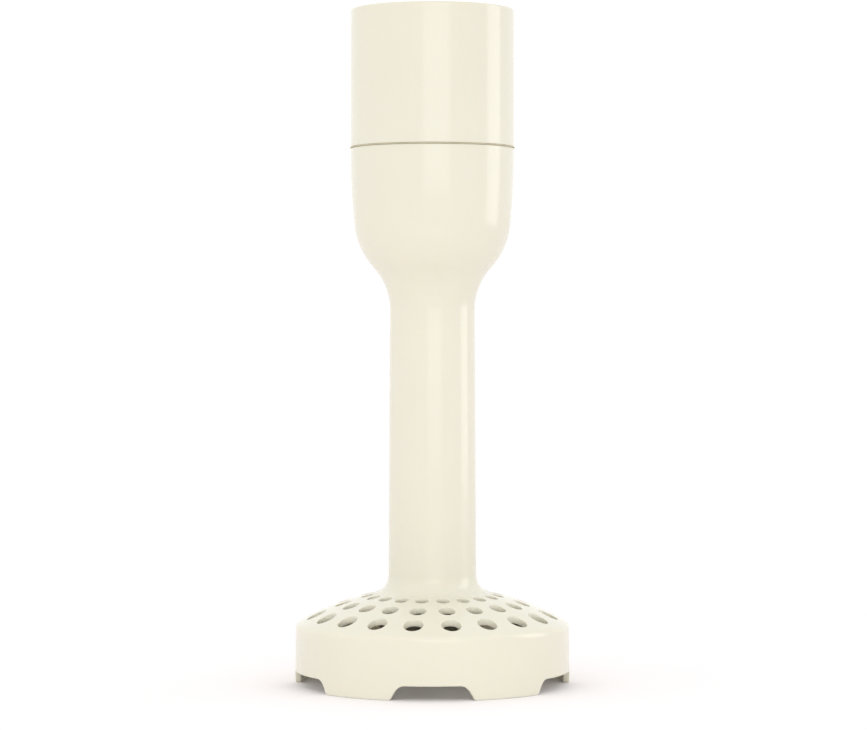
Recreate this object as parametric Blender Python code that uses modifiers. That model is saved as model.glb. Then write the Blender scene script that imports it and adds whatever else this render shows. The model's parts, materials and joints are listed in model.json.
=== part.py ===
"""Masher attachment of a hand blender: a perforated mashing foot on a moulded leg, with a steel
drive shaft and a paddle, under a push-on two-stage planetary gearbox that takes the motor unit.

The origin is on the axis at the foot's rim, +Z runs up the leg, and -Y is the front.
"""

import math

import bmesh
import bpy
from mathutils import Vector

MM = 0.001

# ---- Driving dimensions, in millimetres ----

# Outside of the leg
SEAM_HEIGHT = 196.3
COLLAR_RADIUS = 30.0
LEG_WALL = 2.4
TUBE_TOP_RADIUS = 15.6
TUBE_FOOT_RADIUS = 16.15
SOFT_START_DROP = 3.0
SOFT_ARC_RADIUS = 242.0
SOFT_ARC_LEAN = 5.9
SHOULDER_RADIUS = 27.9
HOLLOW_RADIUS = 22.8

# Mashing foot
FOOT_RADIUS = 50.4
RIM_DRAFT = 0.2
RIM_WALL = 2.2
DOME_RADIUS = 100.0
DOME_TOP = 35.5
DOME_PLATE = 2.4
DOME_EDGE_ROUND = 2.4
INSIDE_EDGE_ROUND = 2.0
TUBE_FILLET = 7.0
FIRST_RING_FROM_TUBE = 7.75
LAST_RING_FROM_EDGE = 7.7
MIDDLE_RING_SHARE = 0.484
HOLE_SHARES = (0.2606, 0.3191, 0.3723)
HOLE_SIDES = 8
HOLES_PER_RING = 20
RIM_PADS = 5
PAD_HALF_ANGLE = 15.2
FRONT_PADS_PULLED_IN = 3.0
NOTCH_HEIGHT = 5.1
NOTCH_SIDE_LEAN = 4.8

# Gearbox housing and its motor socket
GEARBOX_HEIGHT = 50.4
JOINT_GAP = 0.4
GASKET_CLEARANCE = 0.05
GASKET_STANDS_OUT = 0.2
HOUSING_WALL = 2.5
SOCKET_DEPTH = 20.0
SOCKET_FLOOR = 3.0
RIM_ROUND = 0.6
SOCKET_KEYS = 3
KEY_DEPTH = 1.3
KEY_WIDTH = 5.0
KEY_TOP_DROP = 5.0
SCREW_POST_RADIUS = 3.0

# Gears: both stages share one ring gear
GEAR_MODULE = 0.8
SUN_TEETH = 12
PLANET_TEETH = 18
RING_TEETH = 48
PLANETS = 3
ADDENDUM = 0.9
RING_ADDENDUM = 0.8
DEDENDUM = 1.15
TOOTH_TIP_SHARE = 0.26
TOOTH_ROOT_SHARE = 0.66
GEAR_WIDTH = 7.0
PIN_RADIUS = 1.6
PIN_CLEARANCE = 0.18
PIN_SEAT_CLEARANCE = 0.15
PIN_FOOT_RISE = 0.1
PIN_STANDS_OUT = 0.6
CARRIER_THICKNESS = 2.7

# Shafts and bushes
SHAFT_RADIUS = 4.0
INPUT_RADIUS = 2.9
BUSH_WALL = 2.1
BUSH_FLANGE = 1.5
BUSH_FLANGE_THICKNESS = 1.0
RUNNING_CLEARANCE = 0.15

# Screws
SCREW_RADIUS = 1.2
SCREW_HEAD_RADIUS = 1.9
SCREW_HEAD_HEIGHT = 1.8
SCREW_LENGTH = 9.0
SCREW_TIP_LENGTH = 1.2

# Paddle
PADDLE_SIDE_CLEARANCE = 4.2
PADDLE_HUB_WALL = 5.4
PADDLE_BLADES = 3
BLADE_HEIGHT = 9.0
BLADE_ROOT_SHARE = 0.6
BLADE_THICKNESS = 2.4
BLADE_LEAN = 5.0
BLADE_SWEEP = 34.0
PADDLE_DOME_CLEARANCE = 1.3
PADDLE_FLOOR_HEIGHT = 9.0
PADDLE_CAP = 2.5

# Couplings
DRIVE_COUPLING_WALL = 5.0
INPUT_COUPLER_RADIUS = 8.5
INPUT_COUPLER_HEIGHT = 11.5
STAR_POINTS = 6
STAR_TIP_RADIUS = 6.2
STAR_ROOT_RADIUS = 4.2
STAR_FLOOR = 4.2
SPINDLE_SEAT_DEPTH = 3.1
SEAL_LIP_CLEARANCE = 1.5
SEAL_HEIGHT = 3.3
MOTOR_SEAL_HEIGHT = 2.6

# Clearances and steps
SEAT = 0.3
FIT = 0.3
MESH_JOIN = 1.0
ROUND_STEPS = 36
INNER_STEPS = 24
SHAFT_STEPS = 16
SCREW_STEPS = 10
OUTSIDE_ARC_STEPS = 4
INSIDE_ARC_STEPS = 3
FRONT = -90.0

# ---- Sizes that follow ----

LEG_TOP = SEAM_HEIGHT - JOINT_GAP / 2
HOUSING_FOOT = SEAM_HEIGHT + JOINT_GAP / 2
HOUSING_TOP = SEAM_HEIGHT + GEARBOX_HEIGHT
HOUSING_BORE = COLLAR_RADIUS - HOUSING_WALL
FLOOR_TOP = HOUSING_TOP - SOCKET_DEPTH
FLOOR_UNDERSIDE = FLOOR_TOP - SOCKET_FLOOR

LEG_MOUTH_RADIUS = HOUSING_BORE - 0.1
LEG_MOUTH_DEPTH = 8.0
LEG_BORE_RADIUS = LEG_MOUTH_RADIUS - 1.2
LEDGE_RADIUS = LEG_BORE_RADIUS - 2.0
LEDGE_HEIGHT = LEG_TOP - 26.0

RING_FOOT_HEIGHT = HOUSING_FOOT + 5.8
SCREW_POST_PLACE = HOUSING_BORE - SCREW_POST_RADIUS + 0.2
RING_OUTER_RADIUS = SCREW_POST_PLACE - SCREW_POST_RADIUS - FIT
RING_ROOT_RADIUS = GEAR_MODULE * (RING_TEETH / 2 + DEDENDUM)
GEAR_CENTRES = GEAR_MODULE * (SUN_TEETH + PLANET_TEETH) / 2
CARRIER_RADIUS = GEAR_CENTRES + PIN_RADIUS + 2.0

COVER_RADIUS = HOUSING_BORE - FIT
COVER_TOP = RING_FOOT_HEIGHT - 2.9
COVER_UNDERSIDE = LEG_TOP - 1.7
CARRIER_2_FOOT = COVER_TOP + SEAT
CARRIER_2_TOP = CARRIER_2_FOOT + CARRIER_THICKNESS
WASHER_FOOT = CARRIER_2_TOP + SEAT
WASHER_THICKNESS = 0.8
WASHER_TOOTH_GAP = 0.4
SUN_2_FOOT = WASHER_FOOT + WASHER_THICKNESS + SEAT
SUN_2_TOP = SUN_2_FOOT + GEAR_WIDTH + 0.5
CARRIER_1_FOOT = SUN_2_TOP + SEAT
CARRIER_1_TOP = CARRIER_1_FOOT + CARRIER_THICKNESS
PLANET_1_FOOT = CARRIER_1_TOP + SEAT
SUN_1_FOOT = CARRIER_1_TOP + SEAT
PLANET_2_FOOT = CARRIER_2_TOP + SEAT

CUP_OUTER_RADIUS = LEG_BORE_RADIUS - 2.6
CUP_INNER_RADIUS = CUP_OUTER_RADIUS - 1.8
SPIGOT_RADIUS = CUP_INNER_RADIUS - FIT
SPIGOT_WALL = 2.0
CARRIER_PLATE_FOOT = LEDGE_HEIGHT + SEAT
CARRIER_PLATE_TOP = CARRIER_PLATE_FOOT + 2.5
CUP_TOP = COVER_UNDERSIDE - 4.4
SPIGOT_FOOT = CARRIER_PLATE_TOP + 7.2
LEG_POST_RADIUS = 2.8
RIB_THICKNESS = 1.6
LEG_POST_PLACE = SPIGOT_RADIUS - SPIGOT_WALL - SCREW_HEAD_RADIUS - 0.1

BUSH_RADIUS = SHAFT_RADIUS + RUNNING_CLEARANCE + BUSH_WALL
BUSH_BORE = BUSH_RADIUS + FIT
HUB_RADIUS = BUSH_BORE + 2.1
INPUT_BUSH_RADIUS = INPUT_RADIUS + RUNNING_CLEARANCE + BUSH_WALL
UPPER_HUB_FOOT = CARRIER_PLATE_FOOT - 12.0
OUTPUT_HUB_FOOT = COVER_UNDERSIDE - 3.0

FOOT_INNER_RADIUS = FOOT_RADIUS - RIM_WALL
FIRST_RING = TUBE_FOOT_RADIUS + FIRST_RING_FROM_TUBE
HOLE_BAND = FOOT_RADIUS - LAST_RING_FROM_EDGE - FIRST_RING
HOLE_RINGS = tuple(
    (FIRST_RING + HOLE_BAND * place, HOLE_BAND * share)
    for place, share in zip((0.0, MIDDLE_RING_SHARE, 1.0), HOLE_SHARES)
)
DOME_CENTRE = DOME_TOP - DOME_RADIUS
DOME_UNDERSIDE = DOME_RADIUS - DOME_PLATE
LOWER_BOSS_RADIUS = HUB_RADIUS + 3.0
LOWER_BOSS_FOOT = DOME_TOP - 9.3
SEAL_RADIUS = BUSH_RADIUS + 2.0
SEAL_SEAT = LOWER_BOSS_FOOT + 5.5
LOWER_BUSH_FOOT = SEAL_SEAT + 1.3 + SEAT
LOWER_HUB_TOP = LOWER_BUSH_FOOT + 9.2
TUBE_FLOOR = DOME_TOP

COUPLING_FOOT = CARRIER_PLATE_TOP + SEAT + BUSH_FLANGE_THICKNESS + SEAT
COUPLING_TOP = OUTPUT_HUB_FOOT - SEAT - BUSH_FLANGE_THICKNESS - SEAT
COUPLING_RADIUS = SHAFT_RADIUS + DRIVE_COUPLING_WALL
SHAFT_TOP = COUPLING_FOOT + 6.0
DOG_SOCKET_FOOT = SHAFT_TOP + SEAT + 1.0
DOG_FOOT = DOG_SOCKET_FOOT + 0.6
HEX_RADIUS = SHAFT_RADIUS - 0.1
HEX_SOCKET_RADIUS = HEX_RADIUS + 0.35
SUN_2_HUB_RADIUS = 2.3

PADDLE_HUB_TOP = LOWER_BOSS_FOOT - SEAT
PADDLE_RADIUS = FOOT_INNER_RADIUS - PADDLE_SIDE_CLEARANCE
PADDLE_HUB_RADIUS = SHAFT_RADIUS + PADDLE_HUB_WALL
PADDLE_BORE_FOOT = PADDLE_FLOOR_HEIGHT + PADDLE_CAP
SHAFT_FOOT = PADDLE_BORE_FOOT + SEAT
CIRCLIP_FOOT = LOWER_HUB_TOP + SEAT
CIRCLIP_THICKNESS = 1.0

INPUT_COUPLER_FOOT = FLOOR_TOP + SEAT + BUSH_FLANGE_THICKNESS + SEAT


# ---- Scene, collections and materials ----


def clear_scene():
    for obj in list(bpy.data.objects):
        bpy.data.objects.remove(obj, do_unlink=True)


def new_collection(name):
    collection = bpy.data.collections.new(name)
    bpy.context.scene.collection.children.link(collection)
    return collection


def plain_material(name, colour, roughness, metallic=0.0):
    made = bpy.data.materials.new(name)
    made.use_nodes = True
    shader = made.node_tree.nodes["Principled BSDF"]
    shader.inputs["Base Color"].default_value = (*colour, 1.0)
    shader.inputs["Roughness"].default_value = roughness
    shader.inputs["Metallic"].default_value = metallic
    made.diffuse_color = (*colour, 1.0)
    return made


clear_scene()
PARTS = new_collection("masher_attachment")
CUTTERS = new_collection("cutters")

CREAM = (0.86, 0.82, 0.68)
BLACK_RUBBER = (0.03, 0.03, 0.03)
KHAKI_RUBBER = (0.48, 0.44, 0.30)
STEEL = (0.62, 0.62, 0.63)
BRONZE = (0.55, 0.36, 0.16)
WHITE_PLASTIC = (0.78, 0.78, 0.76)
GREY_PLASTIC = (0.24, 0.24, 0.25)


# ---- Shapes ----


def arc(centre, radius, start, end, count):
    """Points (r, z) on a circle from one angle to another, in degrees, with both ends."""
    angles = [math.radians(start + (end - start) * step / count) for step in range(count + 1)]
    return [(centre[0] + radius * math.cos(a), centre[1] + radius * math.sin(a)) for a in angles]


def polar(radius, degrees):
    angle = math.radians(degrees)
    return radius * math.cos(angle), radius * math.sin(angle)


def place(obj, collection, parent=None):
    collection.objects.link(obj)
    if collection is CUTTERS:
        obj.hide_render = True
        obj.display_type = "WIRE"
    if parent:
        obj.parent = parent
    return obj


def turned(name, profile, material=None, hollow=False, steps=ROUND_STEPS, parent=None):
    """A turned piece. The profile (r, z) runs down the outer side, and back up inside if hollow."""
    mesh = bpy.data.meshes.new(name)
    count = len(profile)
    edges = [(index, index + 1) for index in range(count - 1)]
    if hollow:
        edges.append((count - 1, 0))
    mesh.from_pydata([(r * MM, 0.0, z * MM) for r, z in profile], edges, [])
    obj = place(bpy.data.objects.new(name, mesh), PARTS if material else CUTTERS, parent)
    screw = obj.modifiers.new("Turn", "SCREW")
    screw.steps = steps
    screw.render_steps = steps
    screw.use_merge_vertices = True
    screw.merge_threshold = 0.000001
    screw.use_smooth_shade = True
    if material:
        mesh.materials.append(material)
    return obj


def tube_profile(outer, inner, foot, top):
    return [(outer, top), (outer, foot), (inner, foot), (inner, top)]


def from_bmesh(name, made, material=None, parent=None):
    mesh = bpy.data.meshes.new(name)
    bmesh.ops.recalc_face_normals(made, faces=made.faces)
    made.to_mesh(mesh)
    made.free()
    if material:
        mesh.materials.append(material)
    return place(bpy.data.objects.new(name, mesh), PARTS if material else CUTTERS, parent)


def add_rod(made, x, y, radius, foot, top, steps):
    """Adds an upright rod to a bmesh: a prism with the given number of sides."""
    size, height = radius * MM, (top - foot) * MM
    rod = bmesh.ops.create_cone(
        made, cap_ends=True, segments=steps, radius1=size, radius2=size, depth=height
    )
    for vert in rod["verts"]:
        vert.co += Vector((x, y, (foot + top) / 2)) * MM


def rods(name, places, radius, foot, top, steps=SCREW_STEPS):
    """One cutter, or one shape to join, made of upright rods."""
    made = bmesh.new()
    for x, y in places:
        add_rod(made, x, y, radius, foot, top, steps)
    return from_bmesh(name, made)


def hexagon(name, radius, foot, top):
    """A six-sided prism on the axis, whose corners lie at the radius."""
    made = bmesh.new()
    add_rod(made, 0.0, 0.0, radius, foot, top, steps=6)
    return from_bmesh(name, made)


def prism(name, outline, foot, top, hole=None, material=None, parent=None):
    """A flat outline made thick, with a second outline left open inside it."""
    curve = bpy.data.curves.new(name, "CURVE")
    curve.dimensions = "2D"
    curve.fill_mode = "BOTH"
    curve.extrude = (top - foot) / 2 * MM
    for points in filter(None, (outline, hole)):
        spline = curve.splines.new("POLY")
        spline.points.add(len(points) - 1)
        for point, (x, y) in zip(spline.points, points):
            point.co = (x * MM, y * MM, 0.0, 1.0)
        spline.use_cyclic_u = True
    drawn = bpy.data.objects.new(name + "_outline", curve)
    bpy.context.scene.collection.objects.link(drawn)
    graph = bpy.context.evaluated_depsgraph_get()
    mesh = bpy.data.meshes.new_from_object(drawn.evaluated_get(graph))
    bpy.data.objects.remove(drawn, do_unlink=True)
    made = bmesh.new()
    made.from_mesh(mesh)
    bmesh.ops.remove_doubles(made, verts=made.verts, dist=0.000001)
    for vert in made.verts:
        vert.co.z += (foot + top) / 2 * MM
    return from_bmesh(name, made, material, parent)


def boolean(obj, other, operation):
    modifier = obj.modifiers.new(other.name, "BOOLEAN")
    modifier.operation = operation
    modifier.solver = "EXACT"
    modifier.object = other


def cut(obj, *cutters):
    for cutter in cutters:
        boolean(obj, cutter, "DIFFERENCE")


def join(obj, *shapes):
    for shape in shapes:
        boolean(obj, shape, "UNION")


def round_outline(radius, steps):
    return [polar(radius, 360.0 * step / steps) for step in range(steps)]


def thirds(offset=0.0, count=3):
    return [offset + 360.0 * index / count for index in range(count)]


def body(name, x=0.0, y=0.0, parent=None):
    """An empty on a moving body's axis, which its pieces hang from."""
    empty = bpy.data.objects.new(name, None)
    PARTS.objects.link(empty)
    empty.location = (x * MM, y * MM, 0.0)
    empty.parent = parent
    return empty


# ---- Leg ----


def neck_points(offset):
    """The neck from the collar down to the tube: two outward arcs, then a hollow one, all tangent.

    The lean where they meet is the one that brings the collar's radius down to the tube's.
    """
    start_radius = COLLAR_RADIUS - 0.05
    lean = math.radians(SOFT_ARC_LEAN)
    drop = start_radius - TUBE_TOP_RADIUS
    level = SOFT_ARC_RADIUS * (1 - math.cos(lean)) + SHOULDER_RADIUS * math.cos(lean)
    level += HOLLOW_RADIUS - drop
    steepest = math.degrees(math.acos(level / (SHOULDER_RADIUS + HOLLOW_RADIUS)))
    soft_centre = (start_radius - SOFT_ARC_RADIUS, LEG_TOP - SOFT_START_DROP)
    soft_end = arc(soft_centre, SOFT_ARC_RADIUS, 0, -SOFT_ARC_LEAN, 1)[-1]
    shoulder_centre = (
        soft_end[0] - SHOULDER_RADIUS * math.cos(lean),
        soft_end[1] + SHOULDER_RADIUS * math.sin(lean),
    )
    shoulder_end = arc(shoulder_centre, SHOULDER_RADIUS, 0, -steepest, 1)[-1]
    hollow_centre = arc(shoulder_end, HOLLOW_RADIUS, 0, -steepest, 1)[-1]
    steps = INSIDE_ARC_STEPS if offset else OUTSIDE_ARC_STEPS
    points = arc(soft_centre, SOFT_ARC_RADIUS - offset, 0, -SOFT_ARC_LEAN, 2)
    points += arc(shoulder_centre, SHOULDER_RADIUS - offset, -SOFT_ARC_LEAN, -steepest, steps)[1:]
    points += arc(hollow_centre, HOLLOW_RADIUS + offset, 180 - steepest, 180, steps)[1:]
    return points


def foot_outside():
    """The outside from the tube's fillet over the dome and its edge to the foot of the rim."""
    wall_radius = FOOT_RADIUS - RIM_DRAFT
    fillet_r = TUBE_FOOT_RADIUS + TUBE_FILLET
    fillet_rise = math.sqrt((DOME_RADIUS + TUBE_FILLET) ** 2 - fillet_r**2)
    fillet_end = math.degrees(math.atan2(fillet_rise, fillet_r))
    edge_r = wall_radius - DOME_EDGE_ROUND
    edge_rise = math.sqrt((DOME_RADIUS - DOME_EDGE_ROUND) ** 2 - edge_r**2)
    edge_start = math.degrees(math.atan2(edge_rise, edge_r))
    points = arc((fillet_r, DOME_CENTRE + fillet_rise), TUBE_FILLET, 180, 180 + fillet_end, 3)
    points += arc((0.0, DOME_CENTRE), DOME_RADIUS, fillet_end, edge_start, 3)[1:]
    points += arc((edge_r, DOME_CENTRE + edge_rise), DOME_EDGE_ROUND, edge_start, 0, 3)[1:]
    return points + [(FOOT_RADIUS, 0.0)]


def foot_inside():
    """The inside from the rim's foot up the wall and along the dome's underside to the boss."""
    edge_r = FOOT_INNER_RADIUS - INSIDE_EDGE_ROUND
    edge_rise = math.sqrt((DOME_UNDERSIDE - INSIDE_EDGE_ROUND) ** 2 - edge_r**2)
    edge_end = math.degrees(math.atan2(edge_rise, edge_r))
    boss_angle = math.degrees(math.acos(LOWER_BOSS_RADIUS / DOME_UNDERSIDE))
    points = [(FOOT_INNER_RADIUS, 0.0)]
    points += arc((edge_r, DOME_CENTRE + edge_rise), INSIDE_EDGE_ROUND, 0, edge_end, 2)
    points += arc((0.0, DOME_CENTRE), DOME_UNDERSIDE, edge_end, boss_angle, 3)[1:]
    return points


def bearing_boss_inside():
    """Up through the boss under the dome: seal recess, web, bush recess and the hub in the tube."""
    return [
        (LOWER_BOSS_RADIUS, LOWER_BOSS_FOOT),
        (SEAL_RADIUS + FIT, LOWER_BOSS_FOOT),
        (SEAL_RADIUS + FIT, SEAL_SEAT),
        (SHAFT_RADIUS + 0.6, SEAL_SEAT),
        (SHAFT_RADIUS + 0.6, LOWER_BUSH_FOOT - SEAT),
        (BUSH_BORE, LOWER_BUSH_FOOT - SEAT),
        (BUSH_BORE, LOWER_HUB_TOP),
        (HUB_RADIUS, LOWER_HUB_TOP),
        (HUB_RADIUS, TUBE_FLOOR),
    ]


def leg_inside_above_floor():
    """Up the inside of the tube and neck to the ledge, the bore and the mouth."""
    neck = neck_points(LEG_WALL)[::-1]
    below_ledge = [(r, z) for r, z in neck if r < LEDGE_RADIUS]
    (r0, z0), (r1, z1) = below_ledge[-1], neck[len(below_ledge)]
    crossing = z0 + (z1 - z0) * (LEDGE_RADIUS - r0) / (r1 - r0)
    mouth_foot = LEG_TOP - LEG_MOUTH_DEPTH
    return (
        [(TUBE_FOOT_RADIUS - LEG_WALL, TUBE_FLOOR)]
        + below_ledge
        + [(LEDGE_RADIUS, crossing), (LEDGE_RADIUS, LEDGE_HEIGHT), (LEG_BORE_RADIUS, LEDGE_HEIGHT)]
        + [(LEG_BORE_RADIUS, mouth_foot), (LEG_MOUTH_RADIUS, mouth_foot), (LEG_MOUTH_RADIUS, LEG_TOP)]
    )


def hole_cutter(ring):
    radius, diameter = HOLE_RINGS[ring]
    first = FRONT + 180.0 / HOLES_PER_RING
    centres = [polar(radius, angle) for angle in thirds(first, HOLES_PER_RING)]
    foot = DOME_CENTRE + math.sqrt(DOME_UNDERSIDE**2 - radius**2) - 4.0
    top = DOME_CENTRE + math.sqrt(DOME_RADIUS**2 - radius**2) + 4.0
    return rods(f"hole_ring_{ring + 1}", centres, diameter / 2, foot, top, HOLE_SIDES)


def notches():
    """The middle and the half angle of the gap between each two pads that the rim stands on.

    The pads are spaced evenly, except that the two beside the front are pulled in towards it.
    """
    pads = thirds(FRONT + 180.0 / RIM_PADS, RIM_PADS)
    pads[0] -= FRONT_PADS_PULLED_IN
    pads[-1] += FRONT_PADS_PULLED_IN
    following = pads[1:] + [pads[0] + 360.0]
    return [((a + b) / 2, (b - a) / 2 - PAD_HALF_ANGLE) for a, b in zip(pads, following)]


def notch_cutter():
    """A wedge for each notch that widens downwards and outwards, so that its sides lie on the notch's angles."""
    made = bmesh.new()
    near = FOOT_RADIUS - 3 * RIM_WALL
    far = FOOT_RADIUS + 4 * RIM_WALL
    for middle, foot_half in notches():
        verts = []
        for z, half in ((-1.0, foot_half), (NOTCH_HEIGHT, foot_half - NOTCH_SIDE_LEAN)):
            low, high = middle - half, middle + half
            for corner in ((near, low), (far, low), (far, high), (near, high)):
                verts.append(made.verts.new(Vector((*polar(*corner), z)) * MM))
        foot, top = verts[:4], verts[4:]
        made.faces.new(foot[::-1])
        made.faces.new(top)
        for index in range(4):
            following = (index + 1) % 4
            made.faces.new((foot[index], foot[following], top[following], top[index]))
    return from_bmesh("notches", made)


def upright_ribs(name, angles, inner, outer, width, foot, top):
    """Upright ribs that run outwards from the axis, one at each angle."""
    made = bmesh.new()
    for angle in angles:
        cos, sin = polar(1.0, angle)
        for vert in bmesh.ops.create_cube(made, size=1.0)["verts"]:
            along = inner + (vert.co.x + 0.5) * (outer - inner)
            across = vert.co.y * width
            z = foot + (vert.co.z + 0.5) * (top - foot)
            vert.co = Vector((along * cos - across * sin, along * sin + across * cos, z)) * MM
    return from_bmesh(name, made)


def neck_height(radius):
    """How high the neck's inner wall has opened out to this radius."""
    return min(z for r, z in neck_points(LEG_WALL) if r > radius)


def masher_leg(material):
    collar = [(COLLAR_RADIUS - 0.35, LEG_TOP), (COLLAR_RADIUS - 0.05, LEG_TOP - 0.3)]
    outside = collar + neck_points(0.0) + foot_outside()
    inside = foot_inside() + bearing_boss_inside() + leg_inside_above_floor()
    leg = turned("masher_leg", outside + inside, material, hollow=True)
    places = [polar(LEG_POST_PLACE, angle) for angle in thirds(FRONT)]
    post_foot = neck_height(LEG_POST_PLACE + 0.5)
    join(leg, rods("leg_posts", places, LEG_POST_RADIUS, post_foot, LEDGE_HEIGHT, 12))
    rib_foot = neck_height(LEG_POST_PLACE + 4.0)
    rib_ends = LEG_POST_PLACE + 1.0, LEDGE_RADIUS + 1.0
    rib_levels = rib_foot, LEDGE_HEIGHT - 3.0
    join(leg, upright_ribs("leg_ribs", thirds(FRONT), *rib_ends, RIB_THICKNESS, *rib_levels))
    hole_foot = CARRIER_PLATE_TOP - SCREW_LENGTH - 1.0
    cut(leg, rods("leg_screw_holes", places, SCREW_RADIUS + FIT, hole_foot, LEDGE_HEIGHT + 1))
    for ring in range(len(HOLE_RINGS)):
        cut(leg, hole_cutter(ring))
    cut(leg, notch_cutter())


def bearing_carrier(material):
    """The plate on the leg's ledge: a cup above for the gearbox spigot, a hub below for the bush."""
    profile = [
        (CUP_OUTER_RADIUS, CUP_TOP),
        (CUP_OUTER_RADIUS, CARRIER_PLATE_TOP),
        (LEG_BORE_RADIUS - FIT, CARRIER_PLATE_TOP),
        (LEG_BORE_RADIUS - FIT, CARRIER_PLATE_FOOT),
        (HUB_RADIUS, CARRIER_PLATE_FOOT),
        (HUB_RADIUS, UPPER_HUB_FOOT),
        (BUSH_BORE, UPPER_HUB_FOOT),
        (BUSH_BORE, CARRIER_PLATE_TOP),
        (CUP_INNER_RADIUS, CARRIER_PLATE_TOP),
        (CUP_INNER_RADIUS, CUP_TOP),
    ]
    carrier = turned("bearing_carrier", profile, material, True, INNER_STEPS)
    places = [polar(LEG_POST_PLACE, angle) for angle in thirds(FRONT)]
    foot, top = CARRIER_PLATE_FOOT - 1, CARRIER_PLATE_TOP + 1
    cut(carrier, rods("carrier_screw_holes", places, SCREW_RADIUS + FIT, foot, top))


def flanged_bush(name, shaft_radius, flange_foot, end, material, parent=None):
    """A sintered bush. Its tube runs from its flange to the end height, which lies above or below."""
    bore = shaft_radius + RUNNING_CLEARANCE
    outer = bore + BUSH_WALL
    flange = outer + BUSH_FLANGE
    flange_top = flange_foot + BUSH_FLANGE_THICKNESS
    if end < flange_foot:
        profile = [(flange, flange_top), (flange, flange_foot), (outer, flange_foot), (outer, end)]
        profile += [(bore, end), (bore, flange_top)]
    else:
        profile = [(outer, end), (outer, flange_top), (flange, flange_top), (flange, flange_foot)]
        profile += [(bore, flange_foot), (bore, end)]
    return turned(name, profile, material, True, SHAFT_STEPS, parent)


def screw(name, x, y, head_seat, material, points_up=False, parent=None):
    """A pan-head screw whose head sits on head_seat. Its shank runs down, or up if it points up."""
    profile = [
        (0.0, SCREW_HEAD_HEIGHT),
        (SCREW_HEAD_RADIUS * 0.75, SCREW_HEAD_HEIGHT),
        (SCREW_HEAD_RADIUS, SCREW_HEAD_HEIGHT * 0.6),
        (SCREW_HEAD_RADIUS, 0.0),
        (SCREW_RADIUS, 0.0),
        (SCREW_RADIUS, SCREW_TIP_LENGTH - SCREW_LENGTH),
        (0.0, -SCREW_LENGTH),
    ]
    made = turned(name, profile, material, steps=SCREW_STEPS, parent=parent)
    made.location = (x * MM, y * MM, head_seat * MM)
    if points_up:
        made.rotation_euler.x = math.pi


def leg_fittings(bronze, rubber, steel, plastic):
    bore = SHAFT_RADIUS + RUNNING_CLEARANCE
    bearing_carrier(plastic)
    flanged_bush("upper_bush", SHAFT_RADIUS, CARRIER_PLATE_TOP + SEAT, UPPER_HUB_FOOT + 0.5, bronze)
    tube = tube_profile(HUB_RADIUS - 0.6, BUSH_BORE, LOWER_HUB_TOP + SEAT, UPPER_HUB_FOOT - SEAT)
    turned("shaft_tube", tube, plastic, True, SHAFT_STEPS)
    bush = tube_profile(BUSH_RADIUS, bore, LOWER_BUSH_FOOT, LOWER_HUB_TOP)
    turned("lower_bush", bush, bronze, True, SHAFT_STEPS)
    seal_foot = SEAL_SEAT - SEAT - SEAL_HEIGHT
    seal = tube_profile(SEAL_RADIUS, bore, seal_foot, SEAL_SEAT - SEAT)
    turned("shaft_seal", seal, rubber, True, SHAFT_STEPS)
    washer_top = seal_foot - SEAT
    washer = tube_profile(SEAL_RADIUS, SHAFT_RADIUS + 2 * FIT, washer_top - 1.0, washer_top)
    turned("seal_washer", washer, steel, True, SHAFT_STEPS)
    for index, angle in enumerate(thirds(FRONT)):
        x, y = polar(LEG_POST_PLACE, angle)
        screw(f"carrier_screw_{index + 1}", x, y, CARRIER_PLATE_TOP + SEAT, steel)


# ---- Gearbox ----


def gearbox_housing(material, parent):
    rim = RIM_ROUND
    outer_rim = arc((COLLAR_RADIUS - rim, HOUSING_TOP - rim), rim, 90, 0, 2)
    inner_rim = arc((HOUSING_BORE + rim, HOUSING_TOP - rim), rim, 180, 90, 2)
    bush_hole = INPUT_BUSH_RADIUS + FIT
    profile = outer_rim + [
        (COLLAR_RADIUS, HOUSING_FOOT + 0.3),
        (COLLAR_RADIUS - 0.3, HOUSING_FOOT),
        (HOUSING_BORE, HOUSING_FOOT),
        (HOUSING_BORE, FLOOR_UNDERSIDE),
        (bush_hole, FLOOR_UNDERSIDE),
        (bush_hole, FLOOR_TOP),
        (HOUSING_BORE, FLOOR_TOP),
    ]
    housing = turned("gearbox_housing", profile + inner_rim, material, True, ROUND_STEPS, parent)
    places = [polar(SCREW_POST_PLACE, angle) for angle in thirds(-FRONT)]
    post_levels = COVER_TOP + SEAT, FLOOR_UNDERSIDE + MESH_JOIN
    join(housing, rods("screw_posts", places, SCREW_POST_RADIUS, *post_levels, 12))
    key_ends = HOUSING_BORE - KEY_DEPTH, HOUSING_BORE + HOUSING_WALL / 2
    key_levels = FLOOR_TOP - MESH_JOIN / 2, HOUSING_TOP - KEY_TOP_DROP
    key_angles = thirds(-FRONT, SOCKET_KEYS)
    join(housing, upright_ribs("socket_keys", key_angles, *key_ends, KEY_WIDTH, *key_levels))
    foot, top = COVER_TOP - 1, COVER_TOP + SCREW_LENGTH + 1
    cut(housing, rods("post_holes", places, SCREW_RADIUS + FIT, foot, top))


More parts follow.
